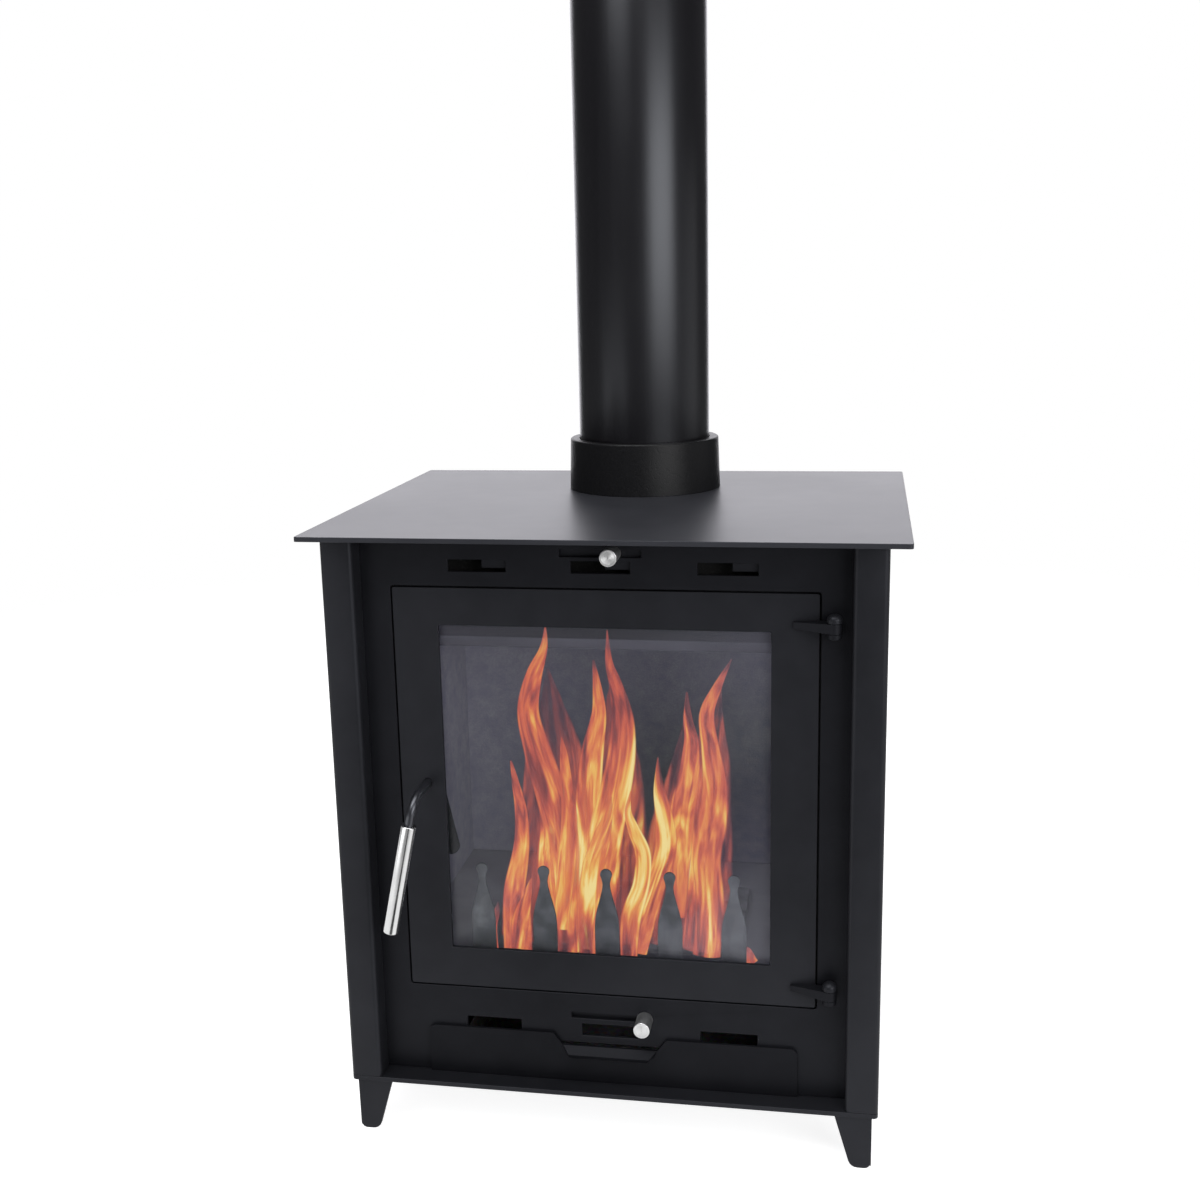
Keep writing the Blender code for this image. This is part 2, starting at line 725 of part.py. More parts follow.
def glass_gasket(rope):
    """Flat seal between the glass and the door plate."""
    outer = WINDOW_W / 2 + GLASS_MARGIN
    inner = WINDOW_W / 2 + GASKET_SETBACK
    outline = rect(-outer, WINDOW_Z0 - GLASS_MARGIN, outer, WINDOW_Z1 + GLASS_MARGIN)
    hole = rect(-inner, WINDOW_Z0 - GASKET_SETBACK, inner, WINDOW_Z1 + GASKET_SETBACK)
    front = DOOR_BACK + GAP
    return prism("glass_gasket", outline, "Y", front, front + GASKET_T, rope, [hole])


def rope_seal(rope):
    """Rope round the back of the door that closes against the surround."""
    half = DOOR_W / 2 - ROPE_INSET
    z0 = DOOR_Z0 + ROPE_INSET
    z1 = DOOR_Z1 - ROPE_INSET
    outline = rounded_rect(-half, z0, half, z1, SEAL_CORNER_R)
    inner_r = SEAL_CORNER_R - ROPE_W
    hole = rounded_rect(-half + ROPE_W, z0 + ROPE_W, half - ROPE_W, z1 - ROPE_W, inner_r)
    front = DOOR_BACK + GAP
    return prism("rope_seal", outline, "Y", front, front + ROPE_T, rope, [hole])


def glass_clip(number, x, sign, steel):
    """Stepped clip that holds one edge of the glass against the gasket."""
    edge = WINDOW_Z1 + GLASS_MARGIN if sign > 0 else WINDOW_Z0 - GLASS_MARGIN
    front = DOOR_BACK + GAP
    lift = GLASS_BACK + GAP
    offsets = [
        (front, CLIP_RISE), (front, CLIP_FOOT), (front + CLIP_T, CLIP_FOOT),
        (front + CLIP_T, CLIP_RISE + CLIP_T), (lift + CLIP_T, CLIP_RISE + CLIP_T),
        (lift + CLIP_T, -CLIP_LAP), (lift, -CLIP_LAP), (lift, CLIP_RISE)]
    section = [(depth, edge + sign * offset) for depth, offset in offsets]
    name = f"glass_clip_{number}"
    clip = prism(name, section, "X", x - CLIP_W / 2, x + CLIP_W / 2, steel)
    head = [
        (0, 0), (CLIP_SCREW_R, 0), (CLIP_SCREW_R, CLIP_SCREW_H / 2),
        (CLIP_SCREW_R - TURNED_EASE, CLIP_SCREW_H * 0.9), (0, CLIP_SCREW_H)]
    screw = turned(f"clip_screw_{number}", head, steel, 16)
    seat = front + CLIP_T + GAP
    stand(screw, x, seat, edge + sign * CLIP_SCREW_AT, (-math.pi / 2, 0, 0))
    return [clip, screw]


def glass_clips(steel):
    """Two clips and screws at the top of the glass and two at the bottom."""
    places = [(-CLIP_X, 1), (CLIP_X, 1), (-CLIP_X, -1), (CLIP_X, -1)]
    pieces = []
    for number, (x, sign) in enumerate(places, start=1):
        pieces += glass_clip(number, x, sign, steel)
    return pieces


def spindle_bush(steel):
    """Bush behind the door plate that the spindle turns in."""
    bore = ROD_R + HOLE_PLAY
    profile = [
        (bore, 0), (BUSH_R, 0), (BUSH_R, BUSH_T - TURNED_EASE), (BUSH_R - TURNED_EASE, BUSH_T),
        (bore, BUSH_T)]
    bush = turned("spindle_bush", profile, steel, 24)
    return stand(bush, SPINDLE_X, DOOR_BACK + GAP, SPINDLE_Z, (-math.pi / 2, 0, 0))


# ---------------------------------------------------------------- handle

def handle_rod(paint):
    """Round rod: spindle through the door, a bend, and the grip's core hanging down."""
    bm = bmesh.new()
    back = LATCH_FRONT + LATCH_T + GAP + NUT_T + ROD_PROUD
    bend_start = SLEEVE_R - HANDLE_REACH + ROD_BEND_R
    across = Matrix.Rotation(math.pi / 2, 4, "X") @ Matrix.Rotation(math.pi / 2, 4, "Z")
    bmesh.ops.create_circle(bm, cap_ends=True, segments=16, radius=ROD_R, matrix=across)
    top = bm.faces[:]
    top = push(bm, top, Vector((0, bend_start - back, 0)))
    turn = bmesh.ops.spin(
        bm, geom=top, cent=(0, bend_start - back, -ROD_BEND_R), axis=(1, 0, 0),
        dvec=(0, 0, 0), angle=math.pi / 2, steps=10, use_duplicate=False)
    bend_end = [item for item in turn["geom_last"] if isinstance(item, bmesh.types.BMFace)]
    push(bm, bend_end, Vector((0, 0, ROD_BEND_R - ROD_END)))
    bmesh.ops.delete(bm, geom=top + bend_end, context="FACES_ONLY")
    rod = new_object("handle_rod", bm, paint)
    return stand(rod, SPINDLE_X, back, SPINDLE_Z, (0, HANDLE_TILT, 0))


def push(bm, faces, travel):
    """Extrude an end face along a straight line and return the new end face."""
    geom = bmesh.ops.extrude_face_region(bm, geom=faces)["geom"]
    verts = [item for item in geom if isinstance(item, bmesh.types.BMVert)]
    bmesh.ops.translate(bm, vec=travel, verts=verts)
    return [item for item in geom if isinstance(item, bmesh.types.BMFace)]


def handle_sleeve(steel):
    """Bright sleeve over the hanging part of the rod, closed at the bottom."""
    bore = ROD_R + HOLE_PLAY
    rim = SLEEVE_R - SLEEVE_EASE
    profile = [
        (0, -SLEEVE_END), (rim, -SLEEVE_END), (SLEEVE_R, -SLEEVE_END + SLEEVE_EASE),
        (SLEEVE_R, -SLEEVE_START - SLEEVE_EASE), (rim, -SLEEVE_START),
        (bore, -SLEEVE_START), (bore, -ROD_END - GAP), (0, -ROD_END - GAP)]
    sleeve = turned("handle_sleeve", profile, steel, 32)
    depth = SLEEVE_R - HANDLE_REACH
    return stand(sleeve, SPINDLE_X, depth, SPINDLE_Z, (0, HANDLE_TILT, 0))


def latch_arm(steel):
    """Flat arm on the inner end of the spindle."""
    lean = math.degrees(math.asin((LATCH_TIP_R - LATCH_HUB_R) / LATCH_LENGTH))
    outline = arc(0, 0, LATCH_HUB_R, lean, 180 - lean, 10)
    outline += arc(0, -LATCH_LENGTH, LATCH_TIP_R, 180 - lean, 360 + lean, 10)
    hole = circle(0, 0, ROD_R + HOLE_PLAY, 16)
    turn = Matrix.Rotation(-LATCH_TILT, 2)
    spots = [[tuple(turn @ Vector(point)) for point in loop] for loop in (outline, hole)]
    shape = [[(SPINDLE_X + u, SPINDLE_Z + v) for u, v in loop] for loop in spots]
    back = LATCH_FRONT + LATCH_T
    return prism("latch_arm", shape[0], "Y", LATCH_FRONT, back, steel, [shape[1]])


def latch_nut(steel):
    """Hexagon nut that holds the latch arm on the spindle."""
    outline = circle(SPINDLE_X, SPINDLE_Z, NUT_R, 6)
    hole = circle(SPINDLE_X, SPINDLE_Z, ROD_R + HOLE_PLAY, 16)
    front = LATCH_FRONT + LATCH_T + GAP
    return prism("latch_nut", outline, "Y", front, front + NUT_T, steel, [hole])


# ---------------------------------------------------------------- air sliders

def slider_plate(name, ends, heights, notch_top, notches, pin, steel):
    """Comb plate behind the face plate: notches open the slots and the webs close them."""
    z0, z1 = heights
    outline = [(ends[1], z0), (ends[1], z1), (ends[0], z1), (ends[0], z0)]
    for left, right in notches:
        outline += [(left, z0), (left, notch_top), (right, notch_top), (right, z0)]
    hole = circle(pin[0], pin[1], KNOB_PIN_R + HOLE_PLAY, 16)
    return prism(name, outline, "Y", SLIDER_FRONT, SLIDER_BACK, steel, [hole])


def air_knob(name, x, z, steel):
    """Turned knob in front of the face plate, with its pin through the slot."""
    length = RECESS - SLIDER_PLAY - KNOB_END
    pin_end = SLIDER_BACK - KNOB_END
    rim = KNOB_R - KNOB_EASE
    profile = [
        (0, 0), (rim, 0), (KNOB_R, KNOB_EASE), (KNOB_R, length - KNOB_EASE), (rim, length),
        (KNOB_PIN_R, length), (KNOB_PIN_R, pin_end), (0, pin_end)]
    return stand(turned(name, profile, steel, 32), x, KNOB_END, z, (-math.pi / 2, 0, 0))


def upper_air(steel, bright):
    """Upper slider, resting a little over half open, with its knob."""
    pin = (UPPER_KNOB_X, UPPER_PIN_MID)
    notches = []
    for x in SLOT_XS:
        right = x + SLOT_W / 2 + UPPER_OPEN_SHIFT
        notches.append((right - UPPER_NOTCH_W, right))
    plate = slider_plate(
        "upper_slider", UPPER_SLIDER_X, UPPER_SLIDER_Z, UPPER_NOTCH_TOP, notches, pin, steel)
    return [plate, air_knob("upper_knob", *pin, bright)]


def lower_air(steel, bright):
    """Lower slider, resting fully open at the right-hand end, with its knob."""
    pin = (LOWER_KNOB_X, LOWER_PIN_MID)
    half = LOWER_NOTCH_W / 2
    notches = [(x - half, x + half) for x in SLOT_XS]
    plate = slider_plate(
        "lower_slider", LOWER_SLIDER_X, LOWER_SLIDER_Z, LOWER_NOTCH_TOP, notches, pin, steel)
    return [plate, air_knob("lower_knob", *pin, bright)]


def slider_guides(steel):
    """Stepped clips that each slider rests on and runs in."""
    rails = {
        "upper": (UPPER_SLIDER_Z[0], UPPER_GUIDE_FOOT), "lower": (LOWER_SLIDER_Z[0], LOWER_GUIDE_FOOT)}
    front = FACE_BACK + GAP
    lip = SLIDER_BACK + GAP
    for level, (rest, drop) in rails.items():
        foot = rest - drop
        tip = rest + GUIDE_LIP
        section = [
            (front, foot), (lip + GUIDE_T, foot), (lip + GUIDE_T, tip), (lip, tip),
            (lip, rest - GAP), (front, rest - GAP)]
        for side, x in (("left", -GUIDE_X), ("right", GUIDE_X)):
            name = f"{level}_guide_{side}"
            prism(name, section, "X", x - GUIDE_W / 2, x + GUIDE_W / 2, steel)


# ---------------------------------------------------------------- ash drawer

def drawer_front(paint):
    """Drawer front with rounded top corners and a finger lip folded out of a notch."""
    half = DRAWER_W / 2
    corners = [
        (-half, SHELL_Z0), (half, SHELL_Z0), (half, DRAWER_TOP), (NOTCH_TOP_W / 2, DRAWER_TOP),
        (LIP_ROOT_W / 2, LIP_ROOT_Z), (-LIP_ROOT_W / 2, LIP_ROOT_Z),
        (-NOTCH_TOP_W / 2, DRAWER_TOP), (-half, DRAWER_TOP)]
    notch_radii = [NOTCH_R, LIP_ROOT_R, LIP_ROOT_R, NOTCH_R]
    radii = [0, 0, DRAWER_CORNER_R, *notch_radii, DRAWER_CORNER_R]
    back = RECESS - DRAWER_PLAY
    front = back - DRAWER_T
    panel = prism("drawer_front", rounded(corners, radii), "Y", front, back, paint)
    join_solid(panel, drawer_lip(front, back - LIP_SINK, paint))
    ease_edges(panel, EDGE)
    return panel


def drawer_lip(front, sunk, paint):
    """Finger lip that slopes forward and down from the notch, sunk into the front's back."""
    down = Vector((-LIP_REACH, LIP_EDGE_Z - LIP_ROOT_Z))
    skin = Vector((down.y, -down.x)).normalized() * LIP_T
    root = Vector((front, LIP_ROOT_Z))
    tip = root + down
    section = [
        Vector((sunk, LIP_ROOT_Z)), root, tip, tip + skin, Vector((sunk, LIP_ROOT_Z - LIP_ROOT_H))]
    outline = [tuple(point) for point in section]
    half = LIP_ROOT_W / 2 - LIP_SIDE
    lip = prism("drawer_lip", outline, "X", -half, half, paint)
    narrow = LIP_EDGE_W / LIP_ROOT_W
    for vertex in lip.data.vertices:
        if vertex.co.y - FRONT_Y < front - LIP_REACH / 2:
            vertex.co.x *= narrow
    return lip


def ash_pan(steel):
    """Open-topped pan fixed behind the drawer front."""
    half = PAN_W / 2
    z0 = BASE_TOP + PAN_LIFT
    outline = rect(-half, RECESS, half, RECESS + PAN_D)
    pan = prism("ash_pan", outline, "Z", z0, PAN_TOP, steel)
    bm = bmesh.new()
    bm.from_mesh(pan.data)
    lid = [face for face in bm.faces if face.normal.z > 0.9]
    rim = bmesh.ops.dissolve_faces(bm, faces=lid)["region"]
    bmesh.ops.inset_region(bm, faces=rim, thickness=PAN_T, use_even_offset=True)
    push_in = bmesh.ops.extrude_face_region(bm, geom=rim)["geom"]
    verts = [item for item in push_in if isinstance(item, bmesh.types.BMVert)]
    bmesh.ops.translate(bm, vec=(0, 0, z0 + PAN_T - PAN_TOP), verts=verts)
    bmesh.ops.delete(bm, geom=[face for face in rim if face.is_valid], context="FACES_ONLY")
    bmesh.ops.recalc_face_normals(bm, faces=bm.faces[:])
    bm.to_mesh(pan.data)
    bm.free()
    return pan


# ---------------------------------------------------------------- assembly

def axis_empty(name, x, depth, z, parent=None):
    """Empty that marks a joint's axis."""
    empty = bpy.data.objects.new(name, None)
    empty.empty_display_size = 0.03
    bpy.context.collection.objects.link(empty)
    empty.location = (x, FRONT_Y + depth, z)
    if parent:
        hang(parent, [empty])
    return empty


def hang(empty, pieces):
    """Parent pieces to an empty and leave them where they are."""
    bpy.context.view_layer.update()
    for piece in pieces:
        piece.parent = empty
        piece.matrix_parent_inverse = empty.matrix_world.inverted()


def build_body(paint, iron, steel, board):
    """Everything that stays put."""
    side_panels(paint)
    back_panel(paint)
    base_plate(paint)
    top_plate(paint)
    face_plate(paint)
    door_surround(paint)
    legs(paint)
    flue_collar(iron)
    flue_pipe(paint)
    firebox_floor(paint)
    grate(iron)
    firebricks(board)
    brick_retainers(paint)
    baffle_plate(board)
    log_guard(iron)
    airwash_channel(paint)
    latch_keeper(steel)
    hinge_brackets(paint)
    hinge_pins(paint)
    slider_guides(steel)


def build_door(paint, steel, bright, glass, rope):
    """Door on its hinge axis, with the handle on the spindle axis."""
    door = axis_empty("door_axis", HINGE_X, HINGE_DEPTH, 0)
    pieces = [door_frame(paint), door_glass(glass), glass_gasket(rope), rope_seal(rope)]
    pieces += glass_clips(steel)
    pieces += [hinge_arm(level, eye, paint) for level, eye in EYE_BOTTOMS.items()]
    pieces.append(spindle_bush(steel))
    hang(door, pieces)
    spindle = axis_empty("handle_axis", SPINDLE_X, 0, SPINDLE_Z, door)
    hang(spindle, [handle_rod(paint), handle_sleeve(bright), latch_arm(paint), latch_nut(steel)])


def build_slides(paint, steel, bright):
    """Air sliders and ash drawer."""
    hang(axis_empty("upper_air_axis", UPPER_KNOB_X, 0, UPPER_PIN_MID), upper_air(paint, bright))
    hang(axis_empty("lower_air_axis", LOWER_KNOB_X, 0, LOWER_PIN_MID), lower_air(paint, bright))
    hang(axis_empty("drawer_axis", 0, 0, BASE_TOP), [drawer_front(paint), ash_pan(steel)])


def build():
    """Clear the scene and model the stove."""
    for obj in list(bpy.data.objects):
        bpy.data.objects.remove(obj, do_unlink=True)
    paint = black_paint()
    steel = plated_steel()
    bright = polished_steel()
    build_body(paint, cast_iron(), steel, firebrick())
    build_door(paint, steel, bright, ceramic_glass(), seal_rope())
    build_slides(paint, steel, bright)


build()
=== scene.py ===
"""Finished look of a wood burning stove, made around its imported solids.

Metres, +Z up; the door faces -Y. The pieces come first, then their materials, then the studio.
Each finished piece stands in the place of the solid whose box and body it takes.
"""
import json
import math
import random

import bmesh
import bpy
from mathutils import Matrix, Vector


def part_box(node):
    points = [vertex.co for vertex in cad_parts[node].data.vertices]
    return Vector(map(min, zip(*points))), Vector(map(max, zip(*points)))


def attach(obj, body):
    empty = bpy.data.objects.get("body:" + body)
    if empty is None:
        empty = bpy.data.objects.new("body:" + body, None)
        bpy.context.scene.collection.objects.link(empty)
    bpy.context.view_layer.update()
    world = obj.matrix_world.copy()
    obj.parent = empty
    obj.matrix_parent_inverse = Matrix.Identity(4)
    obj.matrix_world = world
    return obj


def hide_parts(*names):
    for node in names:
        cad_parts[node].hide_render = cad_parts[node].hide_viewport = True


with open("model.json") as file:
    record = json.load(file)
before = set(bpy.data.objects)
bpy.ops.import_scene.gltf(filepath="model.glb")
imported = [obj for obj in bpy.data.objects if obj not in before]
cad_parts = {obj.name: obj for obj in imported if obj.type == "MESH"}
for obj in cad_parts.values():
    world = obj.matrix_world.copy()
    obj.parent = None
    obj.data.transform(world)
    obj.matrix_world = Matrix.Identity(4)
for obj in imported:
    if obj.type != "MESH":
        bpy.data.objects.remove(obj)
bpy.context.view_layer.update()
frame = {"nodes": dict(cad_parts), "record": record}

RNG = random.Random(7)

# Flat pieces that are copied with rounded edges: edge radius in metres
EDGE_R = {
    "side_panel_left": 0.0006, "side_panel_right": 0.0006, "back_panel": 0.0005,
    "door_surround": 0.0005, "firebox_floor": 0.0005, "airwash_channel": 0.0004,
    "leg_front_left": 0.0008, "leg_front_right": 0.0008, "leg_back_left": 0.0008,
    "leg_back_right": 0.0008, "brick_retainer_left": 0.0004, "brick_retainer_right": 0.0004,
    "grate": 0.0012, "log_guard": 0.0009, "firebrick_left": 0.0022, "firebrick_right": 0.0022,
    "firebrick_back": 0.0022, "baffle_plate": 0.0018, "latch_keeper": 0.0005,
    "hinge_bracket_upper": 0.0006, "hinge_bracket_lower": 0.0006, "hinge_arm_upper": 0.0009,
    "hinge_arm_lower": 0.0009, "latch_arm": 0.0009, "latch_nut": 0.0006,
    "upper_slider": 0.0003, "lower_slider": 0.0003, "upper_guide_left": 0.0003,
    "upper_guide_right": 0.0003, "lower_guide_left": 0.0003, "lower_guide_right": 0.0003,
    "glass_clip_1": 0.0003, "glass_clip_2": 0.0003, "glass_clip_3": 0.0003,
    "glass_clip_4": 0.0003, "ash_pan": 0.0003,
}
BEVEL_STEPS = 3
BEVEL_FROM = math.radians(40)
COPLANAR = math.radians(0.5)
MERGE_WITHIN = 1e-6

# Turned pieces
SEAM_WITHIN = 1e-7
PIPE_WALL = 0.002
PIPE_SIDES = 160
COLLAR_TAPER = 0.0017
COLLAR_WALL = 0.0105
COLLAR_STEP = 0.0053
COLLAR_SEAT = 0.013
COLLAR_LIP_R = 0.002
COLLAR_INNER_LIP_R = 0.001
KNOB_SIDES = 72
KNOB_PIN_R = 0.0033
KNOB_EASE = 0.0008
KNOB_STANDOFF = 0.001
KNOB_RING_H = 0.0001
KNOB_PIP_H = 0.0004
PIN_SIDES = 48
PIN_R = 0.004
PIN_EASE = 0.0005
PIN_HEAD_H = 0.009
PIN_HEAD_WALL = 0.003
BUSH_BORE_R = 0.0048
BUSH_EASE = 0.001

# Pip and rings on a knob's face, as shares of the face's radius
KNOB_PIP = 0.07
KNOB_PIP_FOOT = 0.09
KNOB_RINGS = 6
KNOB_RINGS_FROM = 0.2
KNOB_RINGS_REACH = 0.68
KNOB_RING_HALF_W = 0.02

# Pan-head screws: sizes as shares of the head's radius or height
SCREW_SIDES = 36
SCREW_SOCKET = 0.42
SCREW_SOCKET_FLOOR = 0.4
SCREW_WALL = 0.35
SCREW_CROWN = 0.45
SCREW_SOCKET_WITHIN = 1e-5

# Handle
ROD_R = 0.0045
ROD_SIDES = 32
ROD_BEND_R = 0.020
ROD_END = 0.142
SLEEVE_START = 0.0272
SLEEVE_GAP = 0.0003
SLEEVE_EASE = 0.0009
SLEEVE_SIDES = 96
HANDLE_TILT = math.radians(12.1)

# Seals of plaited strands: twist is the length of one turn, step the spacing of the points,
# and flat the thickness of a strand as a share of its width
SEALS = {
    "rope_seal": {
        "strands": 4, "strand_r": 0.0019, "twist": 0.024, "corner_r": 0.010,
        "step": 0.0024, "sides": 8, "flat": 0.95,
    },
    "glass_gasket": {
        "strands": 5, "strand_r": 0.00042, "twist": 0.018, "corner_r": 0.004,
        "step": 0.0030, "sides": 6, "flat": 0.8,
    },
}

# Flames: tongues as (x, height above the grate, half width) from foot to tip, in sheets that
# stand behind the log guard
FLAME_DEPTHS = {"veil": 0.098, "back": 0.084, "middle": 0.068, "front": 0.052}
TONGUES = {
    "veil": [
        [(-0.118, 0.002, 0.028), (-0.112, 0.060, 0.027), (-0.102, 0.120, 0.022),
         (-0.098, 0.170, 0.017), (-0.102, 0.215, 0.009), (-0.106, 0.250, 0.001)],
        [(-0.070, 0.002, 0.035), (-0.068, 0.080, 0.036), (-0.066, 0.150, 0.034),
         (-0.068, 0.210, 0.028), (-0.078, 0.270, 0.016), (-0.084, 0.320, 0.001)],
        [(-0.015, 0.002, 0.035), (-0.012, 0.080, 0.036), (-0.010, 0.150, 0.032),
         (-0.008, 0.210, 0.025), (-0.010, 0.270, 0.014), (-0.012, 0.310, 0.001)],
        [(0.044, 0.002, 0.032), (0.048, 0.070, 0.032), (0.053, 0.130, 0.028),
         (0.060, 0.180, 0.020), (0.066, 0.230, 0.011), (0.068, 0.270, 0.001)],
        [(0.085, 0.002, 0.028), (0.088, 0.080, 0.029), (0.090, 0.150, 0.026),
         (0.094, 0.210, 0.021), (0.096, 0.260, 0.012), (0.104, 0.310, 0.001)],
    ],
    "back": [
        [(-0.089, 0.002, 0.010), (-0.089, 0.070, 0.010), (-0.085, 0.120, 0.009),
         (-0.082, 0.160, 0.008), (-0.084, 0.195, 0.005), (-0.085, 0.225, 0.001)],
        [(-0.046, 0.002, 0.013), (-0.044, 0.080, 0.014), (-0.040, 0.135, 0.015),
         (-0.038, 0.190, 0.014), (-0.032, 0.235, 0.012), (-0.024, 0.275, 0.008),
         (-0.025, 0.305, 0.005), (-0.029, 0.335, 0.001)],
        [(0.056, 0.040, 0.010), (0.060, 0.110, 0.013), (0.064, 0.160, 0.014),
         (0.072, 0.205, 0.012), (0.075, 0.245, 0.008), (0.071, 0.270, 0.005),
         (0.070, 0.300, 0.001)],
        [(0.075, 0.002, 0.013), (0.081, 0.065, 0.013), (0.082, 0.115, 0.012),
         (0.079, 0.160, 0.010), (0.081, 0.200, 0.006), (0.085, 0.230, 0.001)],
    ],
    "middle": [
        [(-0.124, 0.002, 0.011), (-0.120, 0.070, 0.012), (-0.110, 0.125, 0.009),
         (-0.110, 0.165, 0.007), (-0.116, 0.200, 0.004), (-0.119, 0.225, 0.001)],
        [(-0.062, 0.002, 0.014), (-0.065, 0.080, 0.017), (-0.066, 0.135, 0.018),
         (-0.076, 0.185, 0.018), (-0.089, 0.235, 0.015), (-0.098, 0.280, 0.012),
         (-0.091, 0.320, 0.009), (-0.080, 0.350, 0.0045), (-0.078, 0.375, 0.0006)],
        [(-0.026, 0.002, 0.015), (-0.024, 0.080, 0.018), (-0.017, 0.140, 0.019),
         (-0.006, 0.190, 0.017), (0.002, 0.235, 0.015), (0.003, 0.275, 0.012),
         (-0.004, 0.310, 0.0075), (-0.011, 0.335, 0.0042), (-0.012, 0.370, 0.0006)],
        [(0.091, 0.002, 0.015), (0.095, 0.065, 0.015), (0.092, 0.115, 0.015),
         (0.098, 0.160, 0.016), (0.102, 0.200, 0.014), (0.097, 0.245, 0.0095),
         (0.093, 0.280, 0.008), (0.104, 0.310, 0.0048), (0.119, 0.340, 0.0006)],
        [(0.016, 0.002, 0.009), (0.034, 0.075, 0.010), (0.046, 0.125, 0.012),
         (0.045, 0.165, 0.0095), (0.041, 0.195, 0.006), (0.040, 0.230, 0.0006)],
    ],
    "front": [
        [(-0.065, 0.040, 0.008), (-0.056, 0.120, 0.010), (-0.053, 0.165, 0.009),
         (-0.056, 0.210, 0.0065), (-0.057, 0.240, 0.004), (-0.058, 0.260, 0.0006)],
        [(0.008, 0.002, 0.009), (0.012, 0.055, 0.011), (0.024, 0.095, 0.009),
         (0.026, 0.130, 0.0085), (0.016, 0.155, 0.0065), (0.010, 0.175, 0.0038),
         (0.014, 0.200, 0.0006)],
        [(-0.036, 0.002, 0.012), (-0.035, 0.060, 0.014), (-0.030, 0.105, 0.012),
         (-0.020, 0.140, 0.010), (-0.013, 0.165, 0.006), (-0.008, 0.190, 0.0006)],
        [(-0.116, 0.002, 0.0135), (-0.112, 0.037, 0.0114), (-0.108, 0.060, 0.0073),
         (-0.100, 0.090, 0.0007)],
        [(-0.147, 0.002, 0.006), (-0.147, 0.031, 0.0065), (-0.143, 0.043, 0.004),
         (-0.139, 0.060, 0.0006)],
        [(0.141, 0.002, 0.009), (0.135, 0.012, 0.007), (0.129, 0.024, 0.0006)],
    ],
}
TONGUE_SPACING = 0.004
TONGUE_BROADEN = 1.08
TONGUE_RINGS = 48
TONGUE_COLUMNS = 12
TONGUE_FULLNESS = 0.3
TONGUE_SWAY = 0.004
TONGUE_SWAY_RADIANS = 7
TONGUE_TIP = 0.0004
SLOPE_STEP = 0.01
FLOW_RANGE = 60
FIRE_MIDDLE = (0.0, -0.1, 0.285)

# Colours, from cool to hot, with their places on the flames' ramp
FLAME_STOPS = [
    (0.0, (0.10, 0.032, 0.045)), (0.2, (0.26, 0.062, 0.060)), (0.4, (0.54, 0.105, 0.072)),
    (0.55, (0.72, 0.165, 0.078)), (0.7, (0.85, 0.300, 0.085)), (0.85, (0.94, 0.560, 0.130)),
    (1.0, (1.0, 0.800, 0.300)),
]
FLAME_WARMTH = 0.28
FLAME_DENSITY = 0.94
VEIL_WARMTH = 0.02
VEIL_DENSITY = 0.5

# Stove paints: the two ends of their tone, roughness, height of the orange peel and specular level.
# All are black; the darker copies are painted shade for parts that sit in shade, the top plate's
# lighter copy is painted light on its upper face, and the handle's rod is glossier.
PAINTS = {
    "black_paint": {
        "dark": (0.0066, 0.0068, 0.0083), "light": (0.0098, 0.0101, 0.0122),
        "roughness": 0.42, "peel": 0.000030, "level": 0.18,
    },
    # darker copy of black paint: painted shade for the face plate recessed under the top plate, the
    # latch arm behind the glass, the lower slider behind its slot, and the hinges
    "painted_shade_black": {
        "dark": (0.0042, 0.0043, 0.0054), "light": (0.0066, 0.0068, 0.0084),
        "roughness": 0.45, "peel": 0.000030, "level": 0.12,
    },
    # darker copy of black paint: painted shade on the upper slider, which sits recessed behind its
    # slots
    "slider_painted_shade": {
        "dark": (0.0052, 0.0053, 0.0066), "light": (0.0080, 0.0082, 0.0100),
        "roughness": 0.44, "peel": 0.000030, "level": 0.15,
    },
    # darker copy of black paint: painted shade on the drawer front, down in the recess under the
    # door
    "drawer_painted_shade": {
        "dark": (0.0034, 0.0035, 0.0044), "light": (0.0054, 0.0055, 0.0068),
        "roughness": 0.45, "peel": 0.000030, "level": 0.09,
    },
    # lighter copy of black paint: painted light on the top plate, whose upper face catches the
    # light from above
    "top_painted_light": {
        "dark": (0.0170, 0.0175, 0.0207), "light": (0.0215, 0.0222, 0.0262),
        "roughness": 0.37, "peel": 0.000006, "level": 0.16,
    },
    "rod_paint": {
        "dark": (0.0062, 0.0064, 0.0078), "light": (0.0092, 0.0095, 0.0116),
        "roughness": 0.32, "peel": 0.000008, "level": 0.8,
    },
}
PAINT_TINT = (0.88, 0.90, 1.0)

# Pieces under ash: bare and ashy colour, scale of the ash's patches, span of the noise that they
# cover, scale and detail of the grit, roughness, height of the grit and of the drifts
ASHED = {
    "guard_iron": {
        "bare": (0.055, 0.060, 0.057), "ash": (0.135, 0.145, 0.138),
        "patches": 60, "cover": (0.35, 0.7), "grit": (800, 4), "rough": (0.6, 0.85),
        "grit_h": 0.0002, "drift_h": 0.0, "level": 0.5,
    },
    "ashy_grate": {
        "bare": (0.10, 0.10, 0.105), "ash": (0.26, 0.255, 0.265),
        "patches": 24, "cover": (0.35, 0.6), "grit": (700, 4), "rough": (0.8, 0.95),
        "grit_h": 0.0002, "drift_h": 0.0, "level": 0.2,
    },
    "ashy_steel": {
        "bare": (0.30, 0.295, 0.31), "ash": (0.42, 0.415, 0.43),
        "patches": 11, "cover": (0.35, 0.62), "grit": (700, 3), "rough": (0.85, 1.0),
        "grit_h": 0.0003, "drift_h": 0.0006, "level": 0.2,
    },
}
